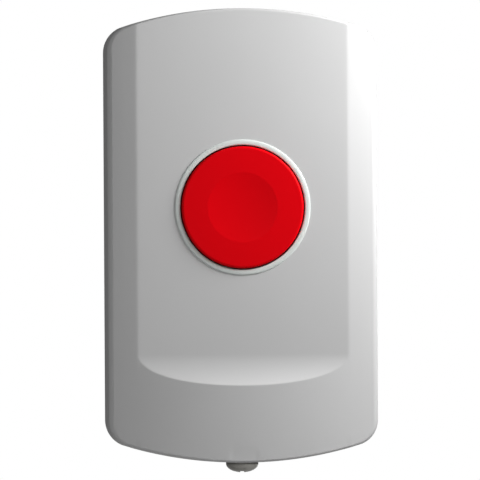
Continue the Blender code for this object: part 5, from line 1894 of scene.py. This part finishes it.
@dataclass
class BatteryBay:
    """The lithium cell in its sleeve, and the two sheet contacts at its ends."""

    layout: Layout
    film: float = 0.08 * MM
    can_edge: float = 0.7 * MM
    sleeve_edge: float = 0.8 * MM
    thickness: float = 0.35 * MM
    contact_half: float = 4.0 * MM

    def build_cell(self) -> None:
        """The plated can with its crimped groove and nub, and the sleeve shrunk over its edges."""
        here = self.layout
        radius, half = here.cell_radius, here.cell_half
        place = Turn.LYING.at(0.0, -here.cell_level, here.cell_z)
        shoulder = half - 0.8 * MM
        bare = radius - self.film
        nub, crimp, edge = 2.9 * MM, shoulder - 0.3 * MM, self.can_edge
        can = [(0.0, half), (nub - 0.3 * MM, half), (nub, half - 0.25 * MM), (nub, crimp), (6.0 * MM, crimp),
               (6.15 * MM, shoulder), *arc(bare - edge, shoulder - edge, edge, QUARTER, 0.0, 6),
               *arc(bare - edge, edge - half, edge, 0.0, -QUARTER, 6), (4.2 * MM, -half),
               (4.0 * MM, 0.12 * MM - half), (0.0, 0.12 * MM - half)]
        adopt_mesh("cell_can", revolve("cell_can", can, place, 96), CELL_STEEL, "battery")
        lip, edge, top = radius - 1.1 * MM, self.sleeve_edge, shoulder + 0.02 * MM
        under = radius - 0.3 * MM
        sleeve = [(lip, top), *arc(radius - edge, top - edge, edge, QUARTER, 0.0, 6),
                  *arc(radius - edge, edge - half, edge, 0.0, -QUARTER, 6), (lip, -half),
                  (lip, 0.3 * MM - half), (under, 0.9 * MM - half), (under, shoulder - 0.9 * MM),
                  (lip, shoulder - 0.3 * MM)]
        adopt_mesh("cell_sleeve", revolve("cell_sleeve", sleeve, place, 96, True), BATTERY_SLEEVE)

    def build_contacts(self) -> None:
        """The plain positive contact and the sprung leaf, bent from sheet with round bends."""
        here = self.layout
        foot_level = here.seat + self.thickness
        face = here.cell_half + 0.1 * MM + self.thickness
        low, high = here.cell_z - self.contact_half, here.cell_z + self.contact_half
        foot, stand = 18.98 * MM, 15.375 * MM
        plain = [(foot, foot_level), (face, foot_level), (face, 14.95 * MM)]
        bend = (stand + face) / 2
        leaf = [(-foot, foot_level), (-stand, foot_level), (-stand, 14.9 * MM), (-bend, 15.8 * MM),
                (-face, 12.4 * MM), (-bend, 10.3 * MM)]
        for name, path, node in (("positive_contact", plain, "battery_contact_positive"),
                                 ("negative_leaf", leaf, "battery_contact_negative")):
            piece = Workpiece(name, strip(name, path, self.thickness, low, high, 0.6 * MM))
            slot_x = foot - 1.6 * MM if path is plain else 1.6 * MM - foot
            piece.cut(rod("solder_hole", 0.7 * MM, slot_x, here.cell_z, 7.0 * MM, 9.5 * MM, 32))
            piece.finished(TINNED_STEEL, node)

    def build(self) -> None:
        """Builds the cell and its contacts."""
        self.build_cell()
        self.build_contacts()


# Fasteners

@dataclass
class PanHeadScrew:
    """A pan head screw with a rolled thread and a cross recess, drawn point up from its seat."""

    name: str
    node: str
    place: Matrix
    shank: float
    length: float
    pitch: float
    head: float
    height: float
    rim: float
    arm: float
    width: float
    depth: float
    sides: int = 36

    def thread(self) -> list[list[Place]]:
        """Rings from the point to the seat whose radius rises and falls with the turn.

        Returns:
            The rings of points.
        """
        rings = []
        rows = round(self.length / self.pitch * 6)
        for row in range(rows + 1):
            height = self.length * (1 - row / rows)
            point = min((self.length - height) / self.pitch, 1.0)
            neck = min(height / self.pitch, 1.0)
            ring = []
            for side in range(self.sides):
                turn = side / self.sides
                wave = abs(2 * ((height / self.pitch - turn) % 1.0) - 1)
                cut = 0.3 * (1 + point - wave) / 2 + 0.4 * (1 - point)
                radius = self.shank - self.pitch * cut * neck
                angle = 2 * math.pi * turn
                ring.append((radius * math.cos(angle), radius * math.sin(angle), height))
            rings.append(ring)
        return rings

    def build(self) -> None:
        """Builds the screw."""
        crown = self.height - self.rim
        edge = 0.08 * MM
        profile = [(self.head - edge, 0.0), (self.head, -edge),
                   *arc(0.0, -self.rim, self.head, 0.0, -QUARTER, 12, crown)[:-1]]
        rings = self.thread()
        for radius, height in profile:
            around = arc(0.0, 0.0, radius, 0.0, 2 * math.pi, self.sides)[:-1]
            rings.append([(x, y, height) for x, y in around])
        shape = bmesh.new()
        patch(shape, [[*ring, ring[0]] for ring in rings])
        for ring, height in ((rings[0], self.length), (rings[-1], -self.height)):
            centre = (0.0, 0.0, height)
            patch(shape, [[*ring, ring[0]], [centre] * (self.sides + 1)])
        blank = to_mesh(self.name, shape)
        blank.transform(self.place)
        screw = Workpiece(self.name, blank)
        screw.cut(self.recess())
        screw.finished(NICKEL, self.node, sharp=38.0)

    def recess(self) -> Mesh:
        """The cross recess, whose arms narrow towards its floor.

        Returns:
            The solid to be cut from the head.
        """
        rings = []
        for share, height in ((1.15, -self.height - MM), (1.0, -self.height),
                              (0.55, self.depth - self.height)):
            arm, half = self.arm * share, self.width * share / 2
            corners = [(arm, -half), (arm, half), (half, half)]
            for _ in range(3):
                corners += [(-y, x) for x, y in corners[-3:]]
            rings.append([(x, y, height) for x, y in corners])
        cutter = stack("recess", rings)
        cutter.transform(self.place)
        return cutter


@dataclass
class KnurledInsert:
    """The brass insert in the lug: two knurled bands with a groove between them."""

    layout: Layout
    repeat: RepeatedShape
    bore: float = 1.6 * MM
    radius: float = 2.2 * MM
    length: float = 5.0 * MM
    groove: float = 0.3 * MM
    ridge: float = 0.12 * MM
    ridges: int = 36

    def build(self) -> None:
        """Builds the insert and its knurls."""
        third = self.length / 3
        place = Turn.UPRIGHT.at(0.0, -self.layout.screw_level, self.layout.boss_bottom)
        body = self.radius - self.ridge
        slim = self.radius - self.groove
        edge = 0.15 * MM
        profile = [(body - edge, self.length), (body, self.length - edge), (body, self.length - third),
                   (slim, self.length - third - edge), (slim, third + edge), (body, third), (body, edge),
                   (body - edge, 0.0), (self.bore + edge, 0.0), (self.bore, edge),
                   (self.bore, self.length - edge), (self.bore + edge, self.length)]
        adopt_mesh("insert_body", revolve("insert_body", profile, place, 72, True), BRASS,
                   "thread_insert")
        half = math.pi * self.radius / self.ridges * 0.8
        section = [(body - self.ridge, -half), (self.radius, 0.0), (body - self.ridge, half)]
        ridge = prism("insert_knurls", section, edge, third)
        knurls = self.repeat.of(ridge, BRASS, place, self.ridges, turn=2 * math.pi / self.ridges, rows=2,
                                row_step=(0.0, 0.0, self.length - third - edge))
        adopt_mesh("insert_knurls", knurls, BRASS)


def build_fasteners(layout: Layout, repeat: RepeatedShape) -> None:
    """The cover screw with its insert, and the two board screws.

    Args:
        layout: The places that they share with the housing.
        repeat: The recipe that repeats the insert's ridges.
    """
    under = Turn.UPRIGHT.at(0.0, -layout.screw_level, layout.screw_seat)
    PanHeadScrew("housing_screw", "cover_screw", under, shank=1.45 * MM, length=8.0 * MM, pitch=0.5 * MM,
                 head=2.95 * MM, height=2.3 * MM, rim=0.7 * MM, arm=1.6 * MM, width=0.8 * MM,
                 depth=1.3 * MM, sides=64).build()
    for side, x in (("left", -layout.post_x), ("right", layout.post_x)):
        place = Turn.FACING_WALL.at(x, -layout.seat, layout.upper_post)
        PanHeadScrew(f"small_screw_{side}", f"board_screw_{side}", place, shank=1.0 * MM, length=5.0 * MM,
                     pitch=0.6 * MM, head=1.9 * MM, height=1.35 * MM, rim=0.45 * MM, arm=1.1 * MM,
                     width=0.5 * MM, depth=0.8 * MM).build()
    KnurledInsert(layout, repeat).build()


# Studio

def bare_tree(owner: bpy.types.Material | bpy.types.World) -> Tree:
    """An owner's node tree, emptied.

    Args:
        owner: A material or a world.

    Returns:
        Its node tree.
    """
    owner.use_nodes = True
    owner.node_tree.nodes.clear()
    return owner.node_tree


@dataclass
class Studio:
    """The floor, the light and the camera: the photograph's scale, and how the camera stood to the button."""

    pixel: float = 0.1818 * MM
    picture: int = 480
    azimuth: float = math.radians(-2.0)
    roll: float = math.radians(-0.33)
    lens: float = 1500.0
    sensor: float = 36.0
    aim: Place = (0.19 * MM, 0.0, -0.84 * MM)
    fill: float = 0.2
    mirrored_fill: float = 0.05
    floor_height: float = -0.12
    floor_half: float = 2.0
    floor_paint: float = 0.4
    floor_glow: float = 0.95
    key_spot: Place = (0.105, -0.0613, 0.0742)
    key_power: float = 1.05
    key_softness: float = 0.03
    wide_lamps: tuple[tuple[str, Place, float], ...] = (("front_lamp", (-0.25, -0.8, 0.25), 0.72),
                                                        ("rear_lamp", (0.3, 0.5, 0.1), 2.6))
    wide_size: float = 0.4
    net_x: float = 0.0345
    net_depth: Point = (-0.021, 0.02)
    net_height: Point = (-0.09, 0.09)
    net_shade: float = 0.5

    def build_camera(self) -> None:
        """The camera in front of the wall, a little to the left."""
        data = bpy.data.cameras.new("camera")
        data.lens = self.lens
        data.sensor_width = self.sensor
        data.dof.use_dof = False
        camera = bpy.data.objects.new("camera", data)
        bpy.context.scene.collection.objects.link(camera)
        back = Vector((math.sin(self.azimuth), -math.cos(self.azimuth), 0.0))
        distance = self.pixel * self.picture * self.lens / self.sensor
        front = -extent("button_carrier")[0].y
        camera.location = Vector(self.aim) + back * (distance + front)
        roll = Matrix.Rotation(self.roll, 3, "Z")
        camera.rotation_euler = ((-back).to_track_quat("-Z", "Y").to_matrix() @ roll).to_euler()
        bpy.context.scene.camera = camera

    def build_lamps(self) -> None:
        """A small soft lamp close by at the upper right, and wide ones before and behind."""
        key = bpy.data.lights.new("key_lamp", "POINT")
        key.shadow_soft_size = self.key_softness
        key.energy = self.key_power
        self.hang(key, self.key_spot)
        for name, spot, power in self.wide_lamps:
            wide = bpy.data.lights.new(name, "AREA")
            wide.shape = "DISK"
            wide.size = self.wide_size
            wide.energy = power
            self.hang(wide, spot)

    def hang(self, light: bpy.types.Light, spot: Place) -> None:
        """Hangs a lamp, unseen by the camera, so that it faces the part.

        Args:
            light: The lamp's data.
            spot: Where it hangs.
        """
        lamp = bpy.data.objects.new(light.name, light)
        lamp.visible_camera = False
        lamp.visible_glossy = light.name != "rear_lamp"
        bpy.context.scene.collection.objects.link(lamp)
        lamp.location = spot
        lamp.rotation_euler = (-Vector(spot)).to_track_quat("-Z", "Y").to_euler()

    def build_world(self) -> None:
        """A pale world that the camera sees as white, and that reflects darker."""
        world = bpy.data.worlds.new("studio")
        bpy.context.scene.world = world
        tree = bare_tree(world)
        path = add_node(tree, "ShaderNodeLightPath").outputs
        seen = add_node(tree, "ShaderNodeMath", {0: path["Is Camera Ray"], 1: path["Is Transmission Ray"]},
                        operation="MAXIMUM").outputs[0]
        level = add_node(tree, "ShaderNodeMath", {0: path["Is Glossy Ray"], 1: self.mirrored_fill - self.fill,
                                                  2: self.fill}, operation="MULTIPLY_ADD").outputs[0]
        fill, white = (add_node(tree, "ShaderNodeBackground", {"Color": (1.0, 1.0, 1.0, 1.0),
                                                               "Strength": strength}).outputs[0]
                       for strength in (level, 1.0))
        mix = add_node(tree, "ShaderNodeMixShader", {0: seen, 1: fill, 2: white})
        add_node(tree, "ShaderNodeOutputWorld", {"Surface": mix.outputs[0]})

    def sheet(self, name: str, rows: Sequence[Sequence[Place]], title: str) -> tuple[Object, Tree]:
        """A flat sheet that is part of the studio, with an empty material.

        Args:
            name: The sheet's name.
            rows: Its corners, in rows.
            title: Its material's name.

        Returns:
            The sheet, and its material's tree.
        """
        shape = bmesh.new()
        patch(shape, rows)
        flat = piece_of(name, to_mesh(name, shape))
        made = bpy.data.materials.new(title)
        flat.data.materials.append(made)
        return flat, bare_tree(made)

    def build_floor(self) -> None:
        """A plain pale floor, white to the camera except where the part shades it, and clear from below."""
        ends = (self.floor_half, -self.floor_half)
        floor, tree = self.sheet("floor", [[(x, y, self.floor_height) for y in ends] for x in ends],
                                 "pale_painted_floor")
        path = add_node(tree, "ShaderNodeLightPath").outputs
        side = add_node(tree, "ShaderNodeNewGeometry").outputs
        paint = add_node(tree, "ShaderNodeBsdfDiffuse", {"Color": (*[self.floor_paint] * 3, 1.0)}).outputs[0]
        glow = add_node(tree, "ShaderNodeEmission", {"Strength": self.floor_glow}).outputs[0]
        lit = add_node(tree, "ShaderNodeAddShader", {0: paint, 1: glow}).outputs[0]
        seen = add_node(tree, "ShaderNodeMixShader", {0: path["Is Camera Ray"], 1: paint, 2: lit}).outputs[0]
        clear = add_node(tree, "ShaderNodeBsdfTransparent").outputs[0]
        both = add_node(tree, "ShaderNodeMixShader", {0: side["Backfacing"], 1: seen, 2: clear}).outputs[0]
        add_node(tree, "ShaderNodeOutputMaterial", {"Surface": both})
        if floor.data.polygons[0].normal.z < 0:
            floor.data.flip_normals()

    def build_net(self) -> None:
        """A grey net that keeps the key lamp from burning out the right wall, unseen by the camera."""
        rows = [[(self.net_x, y, z) for y in self.net_depth] for z in self.net_height]
        net, tree = self.sheet("scrim", rows, "grey_scrim_net")
        net.visible_camera = False
        net.visible_glossy = False
        shade = (*[self.net_shade] * 3, 1.0)
        thin = add_node(tree, "ShaderNodeBsdfTransparent", {"Color": shade})
        add_node(tree, "ShaderNodeOutputMaterial", {"Surface": thin.outputs[0]})

    def build(self) -> None:
        """Sets the whole studio."""
        bpy.context.scene.view_settings.view_transform = "Standard"
        self.build_camera()
        self.build_lamps()
        self.build_world()
        self.build_floor()
        self.build_net()


def main() -> None:
    """Builds the part's looks and the studio, and logs each piece's face count."""
    logging.basicConfig(level=logging.INFO, format="%(message)s")
    layout = Layout()
    wires, repeat = SweptWire(), RepeatedShape()
    FrontCover(layout).build()
    BackPlate(layout).build()
    PushButton(layout, wires).build()
    TactileSwitch(layout, repeat).build()
    TamperSwitch(layout, wires, repeat).build()
    BoardAssembly(layout, wires, repeat).build()
    BatteryBay(layout).build()
    build_fasteners(layout, repeat)
    Studio().build()


if __name__ == "__main__":
    main()
